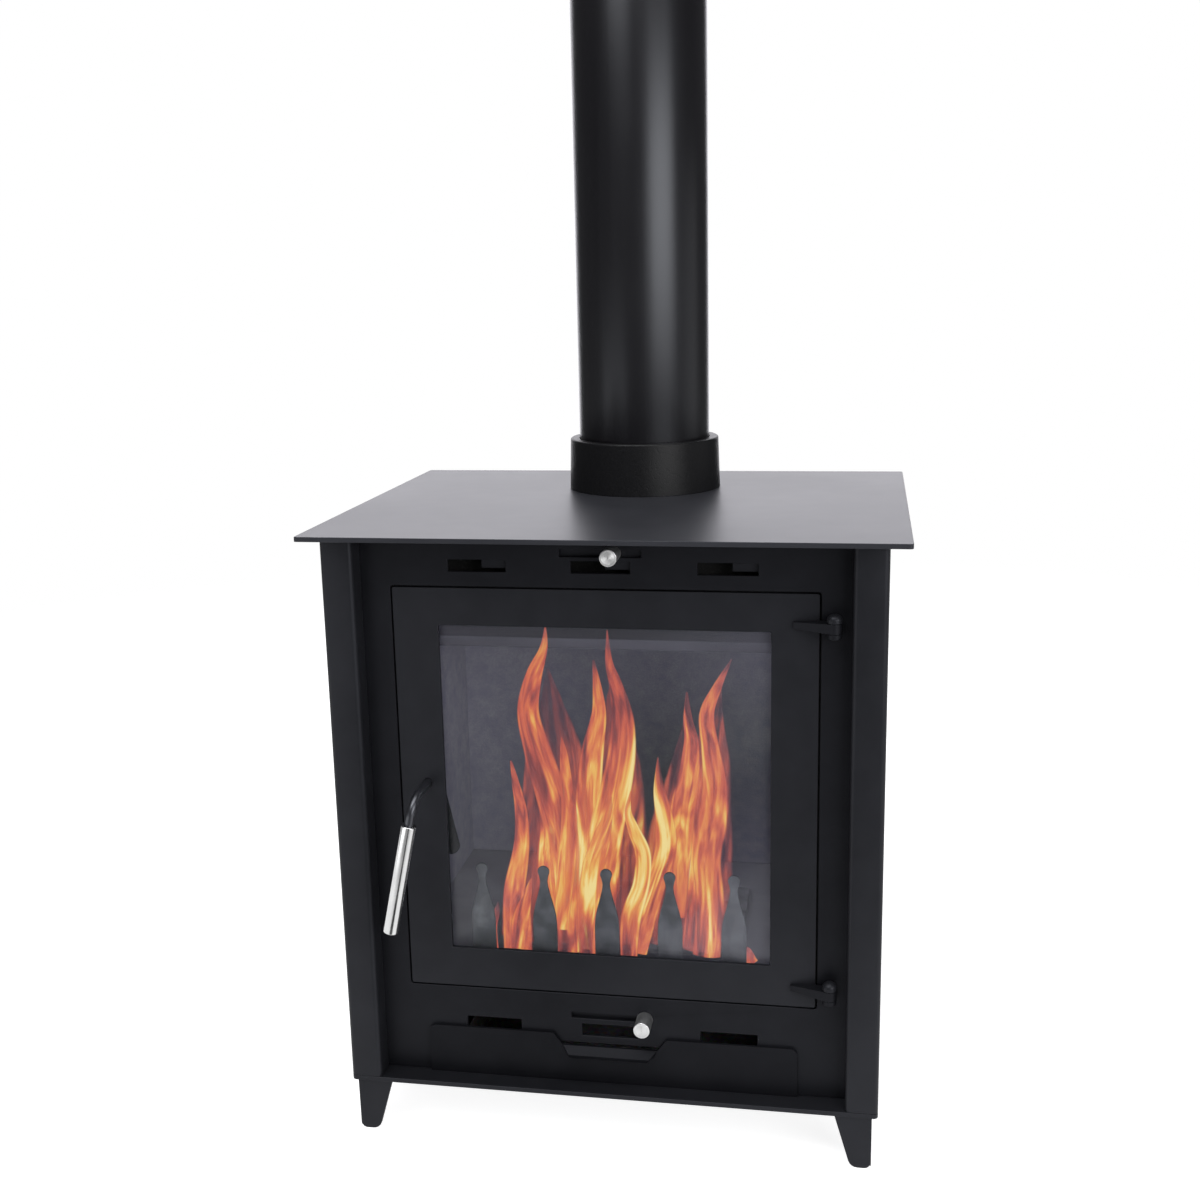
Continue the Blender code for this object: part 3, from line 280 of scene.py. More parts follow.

# Solids that wear another material than their slot's usual one. The darker copies of black paint
# among them are painted shade, and the top plate's lighter copy is painted light.
OWN_MATERIAL = {
    "top_plate": "top_painted_light", "handle_rod": "rod_paint", "upper_slider": "slider_painted_shade",
    "drawer_front": "drawer_painted_shade", "face_plate": "painted_shade_black", "latch_arm": "painted_shade_black",
    "lower_slider": "painted_shade_black", "hinge_arm_upper": "painted_shade_black",
    "hinge_arm_lower": "painted_shade_black", "hinge_bracket_upper": "painted_shade_black",
    "hinge_bracket_lower": "painted_shade_black", "log_guard": "guard_iron", "grate": "ashy_grate",
    "firebox_floor": "ashy_steel", "baffle_plate": "sooty_board", "upper_knob": "turned_steel",
    "lower_knob": "turned_steel",
}

# Colours of the other materials
PIPE_DARK = (0.0030, 0.0025, 0.0032)
PIPE_LIGHT = (0.0044, 0.0040, 0.0048)
PIPE_TINT = (0.90, 0.93, 1.0)
CASTING_DARK = (0.004, 0.004, 0.0045)
CASTING_LIGHT = (0.008, 0.008, 0.009)
BURNT_DARK = (0.0065, 0.0065, 0.007)
BURNT_LIGHT = (0.019, 0.0185, 0.0185)
BURNT_ASH = (0.10, 0.098, 0.094)
STEEL_DARK = (0.52, 0.52, 0.525)
STEEL_LIGHT = (0.66, 0.66, 0.655)
TURNED_DARK = (0.60, 0.60, 0.605)
TURNED_LIGHT = (0.72, 0.72, 0.715)
ZINC = (0.42, 0.42, 0.41)
ZINC_HEATED = (0.26, 0.24, 0.21)
FIBRE_DARK = (0.018, 0.018, 0.018)
FIBRE_LIGHT = (0.075, 0.074, 0.072)
FIBRE_WORN = (0.24, 0.235, 0.22)
BRICK_CHIP = (0.46, 0.45, 0.46)
BRICK_JOINT = (0.37, 0.36, 0.38)
BRICK_SMOKE = (0.28, 0.275, 0.33)
BOARD_DARK = (0.090, 0.088, 0.098)
BOARD_LIGHT = (0.150, 0.147, 0.158)
GLASS_CLEAR = (0.93, 0.93, 0.97)
BLOOM_GREY = (0.50, 0.53, 0.54)
BLOOM_BLUE = (0.52, 0.50, 0.66)
WHITE = (1.0, 1.0, 1.0)
BLACK = (0.0, 0.0, 0.0)

# Glass bloom: the share of haze that each region adds, and the heights or the x where it fades. The
# haze at the head and on the hinge side is painted fill light over the shade in the firebox behind;
# at the foot it is partly bloom and partly the same painted fill light.
BLOOM_THIN = 0.008
BLOOM_THICK = 0.018
BLOOM_AND_FILL_FOOT = {"low": 0.20, "high": 0.31, "to_low": 0.014, "to_high": 0.0}
FILL_LIGHT_HEAD = {"low": 0.53, "high": 0.556, "to_low": 0.0, "to_high": 0.028}
FILL_LIGHT_HINGE_SIDE = {"low": 0.0, "high": 0.16, "to_low": 0.0, "to_high": 0.022}
GLASS_MIRROR_IOR = 1.25

# Camera
CAMERA_PLACE = (0.2519, -1.5910, 0.9090)
CAMERA_YAW = math.radians(-10.22)
CAMERA_PITCH = math.radians(-12.77)
CAMERA_ROLL = math.radians(-1.23)
CAMERA_LENS = 44.61
CAMERA_SENSOR = 36.0

# Floor, the dim spot and the dark card that only reflections see, and the world
FLOOR_R = 3.0
FLOOR_FADE_R = 1.9
FLOOR_SIDES = 96
FLOOR_GREY = (0.49, 0.49, 0.49)
FLOOR_GLOW = 0.85
MIRRORED_DROP = 0.001
DIM_SPOT = (0.0, -1.7, 0.0)
DIM_SPOT_R = 0.55
DIM_SPOT_FADE_R = 1.25
FLAG_PLACE = (0.0, -0.98, 0.002)
FLAG_TURN = math.radians(23)
FLAG_WIDTH = 0.24
FLAG_LENGTH = 1.1
FLAG_GREY = (0.02, 0.02, 0.02)
WORLD_LIGHT = (0.93, 0.95, 1.0)
WORLD_STRENGTH = 0.12

# Soft boxes: where they stand, what they face, their size and their brightness
LAMPS = {
    "overhead": {
        "place": (0, -0.9, 3.3), "aim": (0, -0.4, 0), "width": 3.0, "height": 3.0,
        "radiance": 4.0, "colour": WHITE,
    },
    "front_top": {
        "place": (-1.1, -1.9, 2.6), "aim": (0, 0, 0.3), "width": 1.6, "height": 1.2,
        "radiance": 5.0, "colour": WHITE,
    },
    "back_wall": {
        "place": (-0.75, 3.4, 1.7), "aim": (-0.75, 0, 1.7), "width": 3.5, "height": 3.2,
        "radiance": 2.35, "colour": (0.96, 0.945, 1.0),
    },
    "left_front": {
        "place": (-1.35, -1.3, 0.2), "aim": (-0.1, -0.2, 0.35), "width": 1.6, "height": 0.4,
        "radiance": 1.7, "colour": WHITE,
    },
    "right_front": {
        "place": (1.75, -1.82, 1.05), "aim": (0, 0.1, 0.9), "width": 1.9, "height": 1.2,
        "radiance": 6.0, "colour": WHITE,
    },
    "right_side": {
        "place": (2.3, 0.5, 0.6), "aim": (0, 0.1, 0.6), "width": 1.3, "height": 1.1,
        "radiance": 0.6, "colour": WHITE,
    },
}


# ---------------------------------------------------------------- pieces

def box_of(node):
    """Lowest corner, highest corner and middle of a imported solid."""
    low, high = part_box(node)
    return low, high, (low + high) / 2


def body_of(node):
    """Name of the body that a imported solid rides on."""
    bodies = frame["record"]["behaviour"]["bodies"]
    return next(body for body, nodes in bodies.items() if node in nodes)


def slot_of(node):
    """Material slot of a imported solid."""
    parts = frame["record"]["subparts"]
    return next(part["material_slot"] for part in parts if part["node"] == node)


def finished(name, bm, node=None, sharp=35):
    """Make a piece from a bmesh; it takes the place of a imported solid, or is the stove's fire."""
    bmesh.ops.recalc_face_normals(bm, faces=bm.faces[:])
    mesh = bpy.data.meshes.new(name)
    bm.to_mesh(mesh)
    bm.free()
    mesh.shade_smooth()
    mesh.set_sharp_from_angle(angle=math.radians(sharp))
    piece = bpy.data.objects.new(name, mesh)
    bpy.context.collection.objects.link(piece)
    if node:
        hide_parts(node)
        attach(piece, body_of(node))
        mesh.materials.append(material_of(node))
    else:
        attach(piece, "stove_body")
    return piece


def rounded_copy(node, radius):
    """Copy of a flat piece with its sharp edges rounded."""
    bm = bmesh.new()
    bm.from_mesh(frame["nodes"][node].data)
    bmesh.ops.remove_doubles(bm, verts=bm.verts[:], dist=MERGE_WITHIN)
    bmesh.ops.dissolve_limit(bm, angle_limit=COPLANAR, verts=bm.verts[:], edges=bm.edges[:])
    piece = finished(f"{node}_finished", bm, node)
    bevel = piece.modifiers.new("rounded_edges", "BEVEL")
    bevel.width = radius
    bevel.segments = BEVEL_STEPS
    bevel.limit_method = "ANGLE"
    bevel.angle_limit = BEVEL_FROM
    bevel.use_clamp_overlap = True
    bevel.harden_normals = True


def arc(u, v, radius, start, end, steps):
    """Points along an arc about (u, v), with its angles in degrees."""
    angles = [math.radians(start + (end - start) * step / steps) for step in range(steps + 1)]
    return [(u + radius * math.cos(a), v + radius * math.sin(a)) for a in angles]


def lathe(profile, sides, turn=None):
    """Solid of revolution about local Z through (radius, height) points, then moved by turn."""
    bm = bmesh.new()
    verts = [bm.verts.new((radius, 0, height)) for radius, height in profile]
    pairs = [(verts[i - 1], verts[i]) for i in range(len(verts))]
    edges = [bm.edges.new(pair) for pair in pairs if pair[0].co.x > 0 or pair[1].co.x > 0]
    bmesh.ops.spin(
        bm, geom=verts + edges, cent=(0, 0, 0), axis=(0, 0, 1), dvec=(0, 0, 0),
        angle=2 * math.pi, steps=sides, use_merge=True, use_duplicate=False)
    bmesh.ops.remove_doubles(bm, verts=bm.verts[:], dist=SEAM_WITHIN)
    if turn:
        bm.transform(turn)
    return bm


def upright(middle):
    """Move a turned piece from the world's axis to its own."""
    return Matrix.Translation((middle.x, middle.y, 0))


def facing_back(middle, front):
    """Turn a piece's own Z to point backwards, from its front."""
    return Matrix.Translation((middle.x, front, middle.z)) @ Matrix.Rotation(-math.pi / 2, 4, "X")


def tube(bm, path, radius, sides, closed=False, squash=1.0, flat=None):
    """Add a round tube along a path; flat is the direction in which squash makes it thinner."""
    rings = []
    normal = None
    count = len(path)
    for i, point in enumerate(path):
        after = path[(i + 1) % count] if closed else path[min(i + 1, count - 1)]
        before = path[i - 1] if closed or i else path[0]
        along = (after - before).normalized()
        if flat is not None:
            normal = flat
        elif normal is None:
            normal = along.orthogonal().normalized()
        across = along.cross(normal).normalized()
        normal = across.cross(along).normalized()
        turns = [2 * math.pi * side / sides for side in range(sides)]
        rings.append([
            bm.verts.new(point + radius * (math.cos(a) * across + squash * math.sin(a) * normal))
            for a in turns])
    spans = range(count) if closed else range(1, count)
    for i in spans:
        for side in range(sides):
            bm.faces.new((
                rings[i - 1][side - 1], rings[i - 1][side], rings[i][side], rings[i][side - 1]))
    if not closed:
        bm.faces.new(rings[0])
        bm.faces.new(rings[-1])


# ---------------------------------------------------------------- flue

def flue_pipe():
    """Steel pipe with turned-over ends."""
    low, high, middle = box_of("flue_pipe")
    ease = PIPE_WALL / 2
    wall = (high.x - low.x) / 2 - ease
    profile = arc(wall, low.z + ease, ease, 180, 360, 6)
    profile += arc(wall, high.z - ease, ease, 0, 180, 6)
    finished("flue_pipe_finished", lathe(profile, PIPE_SIDES, upright(middle)), "flue_pipe")


def flue_collar():
    """Cast collar that tapers to a rounded rim, with a seat for the pipe in its bore."""
    low, high, middle = box_of("flue_collar")
    foot = (high.x - low.x) / 2
    rim = foot - COLLAR_TAPER
    bore = rim - COLLAR_WALL
    seat = bore - COLLAR_STEP
    profile = [(seat, low.z), (foot, low.z)]
    profile += arc(rim - COLLAR_LIP_R, high.z - COLLAR_LIP_R, COLLAR_LIP_R, 0, 90, 8)
    inner_lip = bore + COLLAR_INNER_LIP_R
    profile += arc(inner_lip, high.z - COLLAR_INNER_LIP_R, COLLAR_INNER_LIP_R, 90, 180, 5)
    profile += [(bore, low.z + COLLAR_SEAT), (seat, low.z + COLLAR_SEAT)]
    finished("flue_collar_finished", lathe(profile, PIPE_SIDES, upright(middle)), "flue_collar")


# ---------------------------------------------------------------- knobs, pins and screws

def ringed_face(radius):
    """Profile of a turned end face with a middle pip and fine rings, from its middle out."""
    face = [(0, KNOB_PIP_H), (radius * KNOB_PIP, KNOB_PIP_H), (radius * KNOB_PIP_FOOT, 0)]
    half_w = radius * KNOB_RING_HALF_W
    for ring in range(KNOB_RINGS):
        at = radius * (KNOB_RINGS_FROM + KNOB_RINGS_REACH * ring / KNOB_RINGS)
        face += [(at, 0), (at + half_w, KNOB_RING_H), (at + 2 * half_w, 0)]
    return face


def air_knob(node):
    """Turned stainless knob with its pin."""
    low, high, middle = box_of(node)
    radius = (high.x - low.x) / 2
    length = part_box("upper_slider")[0].y - KNOB_STANDOFF - low.y
    rim = radius - KNOB_EASE
    profile = ringed_face(rim)
    profile += arc(rim, KNOB_EASE, KNOB_EASE, 270, 360, 5)
    profile += arc(rim, length - KNOB_EASE, KNOB_EASE, 0, 90, 5)
    profile += [(KNOB_PIN_R, length), (KNOB_PIN_R, high.y - low.y), (0, high.y - low.y)]
    turned = lathe(profile, KNOB_SIDES, facing_back(middle, low.y))
    finished(f"{node}_finished", turned, node)


def hinge_pin(node):
    """Dome-headed hinge pin."""
    low, high, middle = box_of(node)
    head_r = (high.x - low.x) / 2
    seat = high.z - PIN_HEAD_H
    flatten = (PIN_HEAD_H - PIN_HEAD_WALL) / head_r
    dome = [(r, seat + PIN_HEAD_WALL + z * flatten) for r, z in arc(0, 0, head_r, 0, 90, 14)]
    dome[-1] = (0, high.z)
    profile = [(0, low.z), (PIN_R - PIN_EASE, low.z), (PIN_R, low.z + PIN_EASE), (PIN_R, seat)]
    profile += [(head_r - PIN_EASE, seat), (head_r, seat + PIN_EASE)] + dome
    finished(f"{node}_finished", lathe(profile, PIN_SIDES, upright(middle)), node)


def spindle_bush():
    """Bush behind the door plate."""
    low, high, middle = box_of("spindle_bush")
    radius = (high.x - low.x) / 2
    length = high.y - low.y
    profile = [(BUSH_BORE_R, 0), (radius, 0)]
    profile += arc(radius - BUSH_EASE, length - BUSH_EASE, BUSH_EASE, 0, 90, 4)
    profile += [(BUSH_BORE_R, length)]
    turned = lathe(profile, PIN_SIDES, facing_back(middle, low.y))
    finished("spindle_bush_finished", turned, "spindle_bush")


def clip_screw(node):
    """Pan-head screw with a hexagon socket."""
    low, high, middle = box_of(node)
    radius = (high.x - low.x) / 2
    height = high.y - low.y
    socket = radius * SCREW_SOCKET
    wall = height * SCREW_WALL
    crown_r = radius * SCREW_CROWN
    crown = arc(radius - crown_r, wall, crown_r, 0, 75, 6)[1:]
    profile = [(0, 0), (radius, 0), (radius, wall)]
    profile += [(r, min(z, height)) for r, z in crown]
    profile += [(socket, height), (socket, height * SCREW_SOCKET_FLOOR)]
    profile += [(0, height * SCREW_SOCKET_FLOOR)]
    bm = lathe(profile, SCREW_SIDES)
    for vertex in bm.verts:
        reach = math.hypot(vertex.co.x, vertex.co.y)
        if abs(reach - socket) < SCREW_SOCKET_WITHIN:
            angle = math.atan2(vertex.co.y, vertex.co.x) % (math.pi / 3) - math.pi / 6
            scale = math.cos(math.pi / 6) / math.cos(angle)
            vertex.co.x *= scale
            vertex.co.y *= scale
    bm.transform(facing_back(middle, low.y))
    finished(f"{node}_finished", bm, node)


# ---------------------------------------------------------------- handle

def handle_frame(depth):
    """Place of the handle's own frame: its spindle axis, leaning with the grip."""
    spindle = box_of("spindle_bush")[2]
    lean = Matrix.Rotation(HANDLE_TILT, 4, "Y")
    return Matrix.Translation((spindle.x, depth, spindle.z)) @ lean


def handle_rod():
    """Round rod bent once, from the latch to the inside of the sleeve."""
    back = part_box("handle_rod")[1].y
    grip = box_of("handle_sleeve")[2].y
    bend = [
        Vector((0, grip + ROD_BEND_R - u, v - ROD_BEND_R))
        for u, v in arc(0, 0, ROD_BEND_R, 90, 0, 20)]
    path = [Vector((0, back, 0)), *bend, Vector((0, grip, -ROD_END))]
    bm = bmesh.new()
    tube(bm, path, ROD_R, ROD_SIDES)
    bm.transform(handle_frame(0))
    finished("handle_rod_finished", bm, "handle_rod", sharp=50)


def handle_sleeve():
    """Bright sleeve with rounded ends and a closed bottom."""
    low, high, middle = box_of("handle_sleeve")
    radius = (high.y - low.y) / 2
    spindle = box_of("spindle_bush")[2]
    end = (spindle.z - low.z - radius * math.sin(HANDLE_TILT)) / math.cos(HANDLE_TILT)
    bore = ROD_R + SLEEVE_GAP
    bottom = -ROD_END - SLEEVE_GAP
    rim = radius - SLEEVE_EASE
    profile = [(0, -end)] + arc(rim, -end + SLEEVE_EASE, SLEEVE_EASE, 270, 360, 6)
    profile += arc(rim, -SLEEVE_START - SLEEVE_EASE, SLEEVE_EASE, 0, 90, 6)
    profile += [(bore, -SLEEVE_START), (bore, bottom), (0, bottom)]
    bm = lathe(profile, SLEEVE_SIDES, handle_frame(middle.y))
    finished("handle_sleeve_finished", bm, "handle_sleeve")


# ---------------------------------------------------------------- seals

def loop_frames(low, high, corner_r, step):
    """Points and outward normals round a rectangle with round corners, in the XZ plane."""
    places = []
    centres = [
        (high.x - corner_r, low.z + corner_r), (high.x - corner_r, high.z - corner_r),
        (low.x + corner_r, high.z - corner_r), (low.x + corner_r, low.z + corner_r)]
    bend_steps = max(3, round(corner_r * math.pi / 2 / step))
    for i, (x, z) in enumerate(centres):
        for bend in range(bend_steps + 1):
            angle = math.radians(90 * (i - 1) + 90 * bend / bend_steps)
            out = Vector((math.cos(angle), 0, math.sin(angle)))
            places.append((Vector((x, 0, z)) + corner_r * out, out))
        first, out = places[-1]
        next_x, next_z = centres[(i + 1) % 4]
        last = Vector((next_x, 0, next_z)) + corner_r * out
        run_steps = max(2, round((last - first).length / step))
        for run in range(1, run_steps):
            places.append((first.lerp(last, run / run_steps), out))
    return places


def seal_width(node):
    """Width of a flat ring's section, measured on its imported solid."""
    reach = min(abs(vertex.co.x) for vertex in frame["nodes"][node].data.vertices)
    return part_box(node)[1].x - reach


def plaited_loop(node, strands, strand_r, twist, corner_r, step, sides, flat):
    """Loop of twisted strands that fills the place of a seal."""
    low, high, middle = box_of(node)
    half_w = seal_width(node) / 2
    half_t = (high.y - low.y) / 2
    inset = Vector((half_w, 0, half_w))
    places = loop_frames(low + inset, high - inset, corner_r, step)
    lengths = [0.0]
    for i in range(1, len(places) + 1):
        gap = places[i % len(places)][0] - places[i - 1][0]
        lengths.append(lengths[-1] + gap.length)
    turns = round(lengths[-1] / twist)
    bm = bmesh.new()
    for strand in range(strands):
        path = []
        for (point, out), length in zip(places, lengths):
            angle = 2 * math.pi * (turns * length / lengths[-1] + strand / strands)
            side = (half_w - strand_r) * math.cos(angle)
            deep = (half_t - strand_r * flat) * math.sin(angle)
            path.append(point + side * out + Vector((0, middle.y + deep, 0)))
        tube(bm, path, strand_r, sides, closed=True, squash=flat, flat=Vector((0, 1, 0)))
    finished(f"{node}_finished", bm, node, sharp=80)


# ---------------------------------------------------------------- flames

def catmull(points, t):
    """Point at t from 0 to 1 on a smooth curve through the points."""
    spans = len(points) - 1
    span = min(int(t * spans), spans - 1)
    f = t * spans - span
    p0 = points[max(span - 1, 0)]
    p1 = points[span]
    p2 = points[span + 1]
    p3 = points[min(span + 2, spans)]
    return 0.5 * (
        2 * p1 + (p2 - p0) * f + (2 * p0 - 5 * p1 + 4 * p2 - p3) * f * f
        + (3 * p1 - p0 - 3 * p2 + p3) * f * f * f)


def tongue_row(bm, flow, spot, out, half, run, seed):
    """Front and back vertices of one section across a tongue; they share its two edges."""
    front, back = [], []
    for column in range(TONGUE_COLUMNS + 1):
        side = 2 * column / TONGUE_COLUMNS - 1
        reach = side * half
        swell = Vector((0, TONGUE_FULLNESS * half * (1 - side ** 2), 0))
        edge = column in (0, TONGUE_COLUMNS)
        near = bm.verts.new(spot + reach * out - swell)
        far = near if edge else bm.verts.new(spot + reach * out + swell)
        for vertex in {near, far}:
            vertex[flow] = Vector((reach, run, seed))
        front.append(near)
        back.append(far)
    return front, back


def add_tongue(bm, layers, spine, depth, floor):
    """Add one flame tongue: a lens-shaped blade along a smooth spine."""
    uv_layer, flow = layers
    points = [Vector(point) for point in spine]
    seed = RNG.uniform(0, FLOW_RANGE)
    phase = RNG.uniform(0, 2 * math.pi)
    rows = []
    run = 0.0
    last = None
    for ring in range(TONGUE_RINGS + 1):
        t = ring / TONGUE_RINGS
        x, height, half = catmull(points, t)
        after = catmull(points, min(t + SLOPE_STEP, 1.0))
        slope = after - catmull(points, max(t - SLOPE_STEP, 0.0))
        along = Vector((slope.x, 0, slope.y)).normalized()
        out = Vector((along.z, 0, -along.x))
        sway = TONGUE_SWAY * math.sin(phase + TONGUE_SWAY_RADIANS * t)
        spot = Vector((x, depth + sway, floor + height))
        run += (spot - last).length if last is not None else 0
        last = spot
        half = max(half * TONGUE_BROADEN, TONGUE_TIP)
        rows.append((t, *tongue_row(bm, flow, spot, out, half, run, seed)))
    for (t0, front0, back0), (t1, front1, back1) in zip(rows, rows[1:]):
        for side0, side1 in ((front0, front1), (back0, back1)):
            for column in range(1, TONGUE_COLUMNS + 1):
                face = bm.faces.new((
                    side0[column - 1], side0[column], side1[column], side1[column - 1]))
                us = [column - 1, column, column, column - 1]
                for loop, u, v in zip(face.loops, us, (t0, t0, t1, t1)):
                    loop[uv_layer].uv = (u / TONGUE_COLUMNS, v)
    for t, front, back in (rows[0], rows[-1]):
        cap = bm.faces.new(front + back[-2:0:-1])
        for loop in cap.loops:
            loop[uv_layer].uv = (0.0, t)


def flames():
    """Sheets of flame tongues between the log guard and the back of the grate."""
    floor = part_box("grate")[1].z
    guard_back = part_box("log_guard")[1].y
    for sheet, spines in TONGUES.items():
        bm = bmesh.new()
        layers = (bm.loops.layers.uv.new("UVMap"), bm.verts.layers.float_vector.new("flow"))
        for number, spine in enumerate(spines):
            depth = guard_back + FLAME_DEPTHS[sheet] + TONGUE_SPACING * number
            add_tongue(bm, layers, spine, depth, floor)
        piece = finished(f"flames_{sheet}", bm, sharp=80)
        piece.data.materials.append(MATERIALS["flame_veil" if sheet == "veil" else "flame"])
        piece.visible_diffuse = False
        piece.visible_glossy = False
        piece.visible_shadow = False


# ---------------------------------------------------------------- materials

class Graph:
    """A material's node tree, with short ways to add nodes."""

    def __init__(self, name):
        self.material = bpy.data.materials.new(name)
        self.material.use_nodes = True
        self.tree = self.material.node_tree
        self.shader = self.tree.nodes["Principled BSDF"]
        self.place = self.add("TexCoord").outputs["Object"]

    def add(self, kind, inputs=None, **settings):
        """Add a shader node with settings and with values or links on its inputs."""
        node = self.tree.nodes.new(f"ShaderNode{kind}")
        for key, value in settings.items():
            setattr(node, key, value)
        for key, value in (inputs or {}).items():
            self.plug(node.inputs[key], value)
        return node

    def plug(self, socket, value):
        """Link a socket to another, or set its plain value; a colour also gets its alpha."""
        if isinstance(value, bpy.types.NodeSocket):
            self.tree.links.new(value, socket)
        elif socket.type == "RGBA":
            socket.default_value = (*value, 1.0)
        else:
            socket.default_value = value

    def set(self, **values):
        """Set or link the Principled shader's sockets, with _ for a space in the name."""
        for key, value in values.items():
            self.plug(self.shader.inputs[key.replace("_", " ")], value)

    def noise(self, scale, detail=2.0, place=None, stretch=None, distortion=0.0):
        """Noise from 0 to 1; scale is about its number of features in a metre."""
        place = place or self.place
        if stretch:
            place = self.add("Mapping", {"Vector": place, "Scale": stretch}).outputs["Vector"]
        inputs = {"Vector": place, "Scale": scale, "Detail": detail, "Distortion": distortion}
        return self.add("TexNoise", inputs).outputs["Fac"]

    def math(self, operation, a, b=0.0):
        """Arithmetic on two values."""
        return self.add("Math", {0: a, 1: b}, operation=operation).outputs[0]

    def span(self, value, low, high, to_low=0.0, to_high=1.0, smooth=False):
        """Carry a value from one range to another, held at its ends."""
        kind = "SMOOTHSTEP" if smooth else "LINEAR"
        inputs = {0: value, 1: low, 2: high, 3: to_low, 4: to_high}
        return self.add("MapRange", inputs, interpolation_type=kind).outputs[0]

    def distance(self, point):
        """Distance from a point."""
        inputs = {0: self.place, 1: point}
        return self.add("VectorMath", inputs, operation="DISTANCE").outputs["Value"]

    def ramp(self, value, stops):
        """Colour ramp with (place, colour) stops."""
        node = self.add("ValToRGB", {"Fac": value})
        elements = node.color_ramp.elements
        while len(elements) < len(stops):
            elements.new(0.5)
        for element, (place, colour) in zip(elements, stops):
            element.position = place
            element.color = (*colour, 1.0)
        return node.outputs["Color"]

    def blend(self, value, first, second):
        """Mix of two colours."""
        node = self.add("Mix", {0: value, 6: first, 7: second}, data_type="RGBA")
        return node.outputs[2]

    def bump(self, height, distance, normal=None):
        """Normal from a height, whose full range is distance in metres."""
        inputs = {"Height": height, "Distance": distance}
        if normal:
            inputs["Normal"] = normal
        return self.add("Bump", inputs).outputs["Normal"]


def painted(name, dark, light, roughness, peel, level):
    """High temperature paint: broad tone changes, fine orange peel and a dusty sheen."""
    g = Graph(name)
    cloud = g.noise(5, 3)
    patch = g.noise(38, 4)
    tone = g.span(g.math("ADD", cloud, g.math("MULTIPLY", patch, 0.5)), 0.55, 0.95)
    speck = g.span(g.noise(1400, 1), 0.62, 0.75)
    colour = g.blend(g.math("MULTIPLY", speck, 0.35), g.blend(tone, dark, light), light)
    rough = g.span(tone, 0, 1, roughness * 0.97, roughness * 1.03)
    orange = g.bump(g.noise(620, 2), peel)
    g.set(Base_Color=colour, Roughness=rough, Normal=g.bump(g.noise(2600, 1), peel / 6, orange))
    g.set(Specular_IOR_Level=level, Specular_Tint=PAINT_TINT)
    return g.material


def ashed(name, bare, ash, patches, cover, grit, rough, grit_h, drift_h, level):
    """Iron or steel in the fire, under patches of fine grey ash."""
    g = Graph(name)
    drift = g.span(g.noise(patches, 5), *cover)
    grains = g.noise(*grit)
    normal = g.bump(drift, drift_h) if drift_h else None
    g.set(Base_Color=g.blend(drift, bare, ash), Roughness=g.span(grains, 0.3, 0.7, *rough))
    g.set(Normal=g.bump(grains, grit_h, normal), Specular_IOR_Level=level)
    return g.material


def pipe_paint():
    """Satin paint on the flue pipe, with faint drawing lines down its length."""
    g = Graph("pipe_paint")
    cloud = g.noise(4, 3)
    lines = g.noise(90, 2, stretch=(1.0, 1.0, 0.03))
    tone = g.span(g.math("ADD", cloud, g.math("MULTIPLY", lines, 0.4)), 0.5, 0.9)
    peel = g.bump(g.noise(560, 2), 0.000022, g.bump(lines, 0.00008))
    g.set(Base_Color=g.blend(tone, PIPE_DARK, PIPE_LIGHT), Normal=peel)
    g.set(Roughness=g.span(tone, 0, 1, 0.30, 0.35))
    g.set(Specular_IOR_Level=0.46, Specular_Tint=PIPE_TINT)
    return g.material


def cast_iron():
    """Painted casting with a fine sand texture."""
    g = Graph("cast_iron")
    sand = g.noise(900, 4)
    pits = g.span(g.noise(240, 2), 0.28, 0.42)
    colour = g.blend(g.span(sand, 0.35, 0.7), CASTING_DARK, CASTING_LIGHT)
    skin = g.bump(pits, 0.00008, g.bump(sand, 0.00014))
    g.set(Base_Color=colour, Roughness=g.span(sand, 0.3, 0.7, 0.36, 0.46), Normal=skin)
    g.set(Specular_IOR_Level=0.15)
    return g.material


def inner_steel():
    """Painted steel dulled by heat, with soot and a little ash."""
    g = Graph("inner_steel")
    soot = g.span(g.noise(14, 5), 0.35, 0.65)
    ash = g.span(g.noise(420, 3), 0.55, 0.75)
    burnt = g.blend(soot, BURNT_DARK, BURNT_LIGHT)
    colour = g.blend(g.math("MULTIPLY", ash, 0.2), burnt, BURNT_ASH)
    g.set(Base_Color=colour, Roughness=g.span(soot, 0, 1, 0.62, 0.8))
    g.set(Normal=g.bump(g.noise(500, 3), 0.00006), Specular_IOR_Level=0.3)
    return g.material


def polished_steel():
    """Bright drawn stainless steel with hair-fine lines along the grip."""
    g = Graph("polished_steel")
    lines = g.noise(2400, 2, stretch=(1.0, 1.0, 0.02))
    smear = g.noise(45, 3)
    rough = g.span(g.math("ADD", g.math("MULTIPLY", lines, 0.5), smear), 0.4, 1.1, 0.13, 0.23)
    g.set(Base_Color=g.blend(smear, STEEL_DARK, STEEL_LIGHT), Roughness=rough, Metallic=1.0)
    g.set(Normal=g.bump(lines, 0.000004))
    return g.material


def turned_steel():
    """Stainless air knobs, left matt by the turning tool."""
    g = Graph("turned_steel")
    smear = g.noise(90, 3)
    rough = g.span(smear, 0.3, 0.7, 0.34, 0.44)
    g.set(Base_Color=g.blend(smear, TURNED_DARK, TURNED_LIGHT), Roughness=rough, Metallic=1.0)
    g.set(Normal=g.bump(g.noise(1800, 2), 0.00001))
    return g.material


def plated_steel():
    """Zinc plating with a faint crystal bloom, dulled by heat."""
    g = Graph("plated_steel")
    bloom = g.add("TexVoronoi", {"Vector": g.place, "Scale": 260.0}).outputs["Color"]
    heat = g.span(g.noise(30, 4), 0.35, 0.7)
    colour = g.blend(0.12, g.blend(heat, ZINC, ZINC_HEATED), bloom)
    g.set(Base_Color=colour, Roughness=g.span(heat, 0, 1, 0.34, 0.55), Metallic=1.0)
    g.set(Normal=g.bump(g.noise(900, 3), 0.00003))
    return g.material


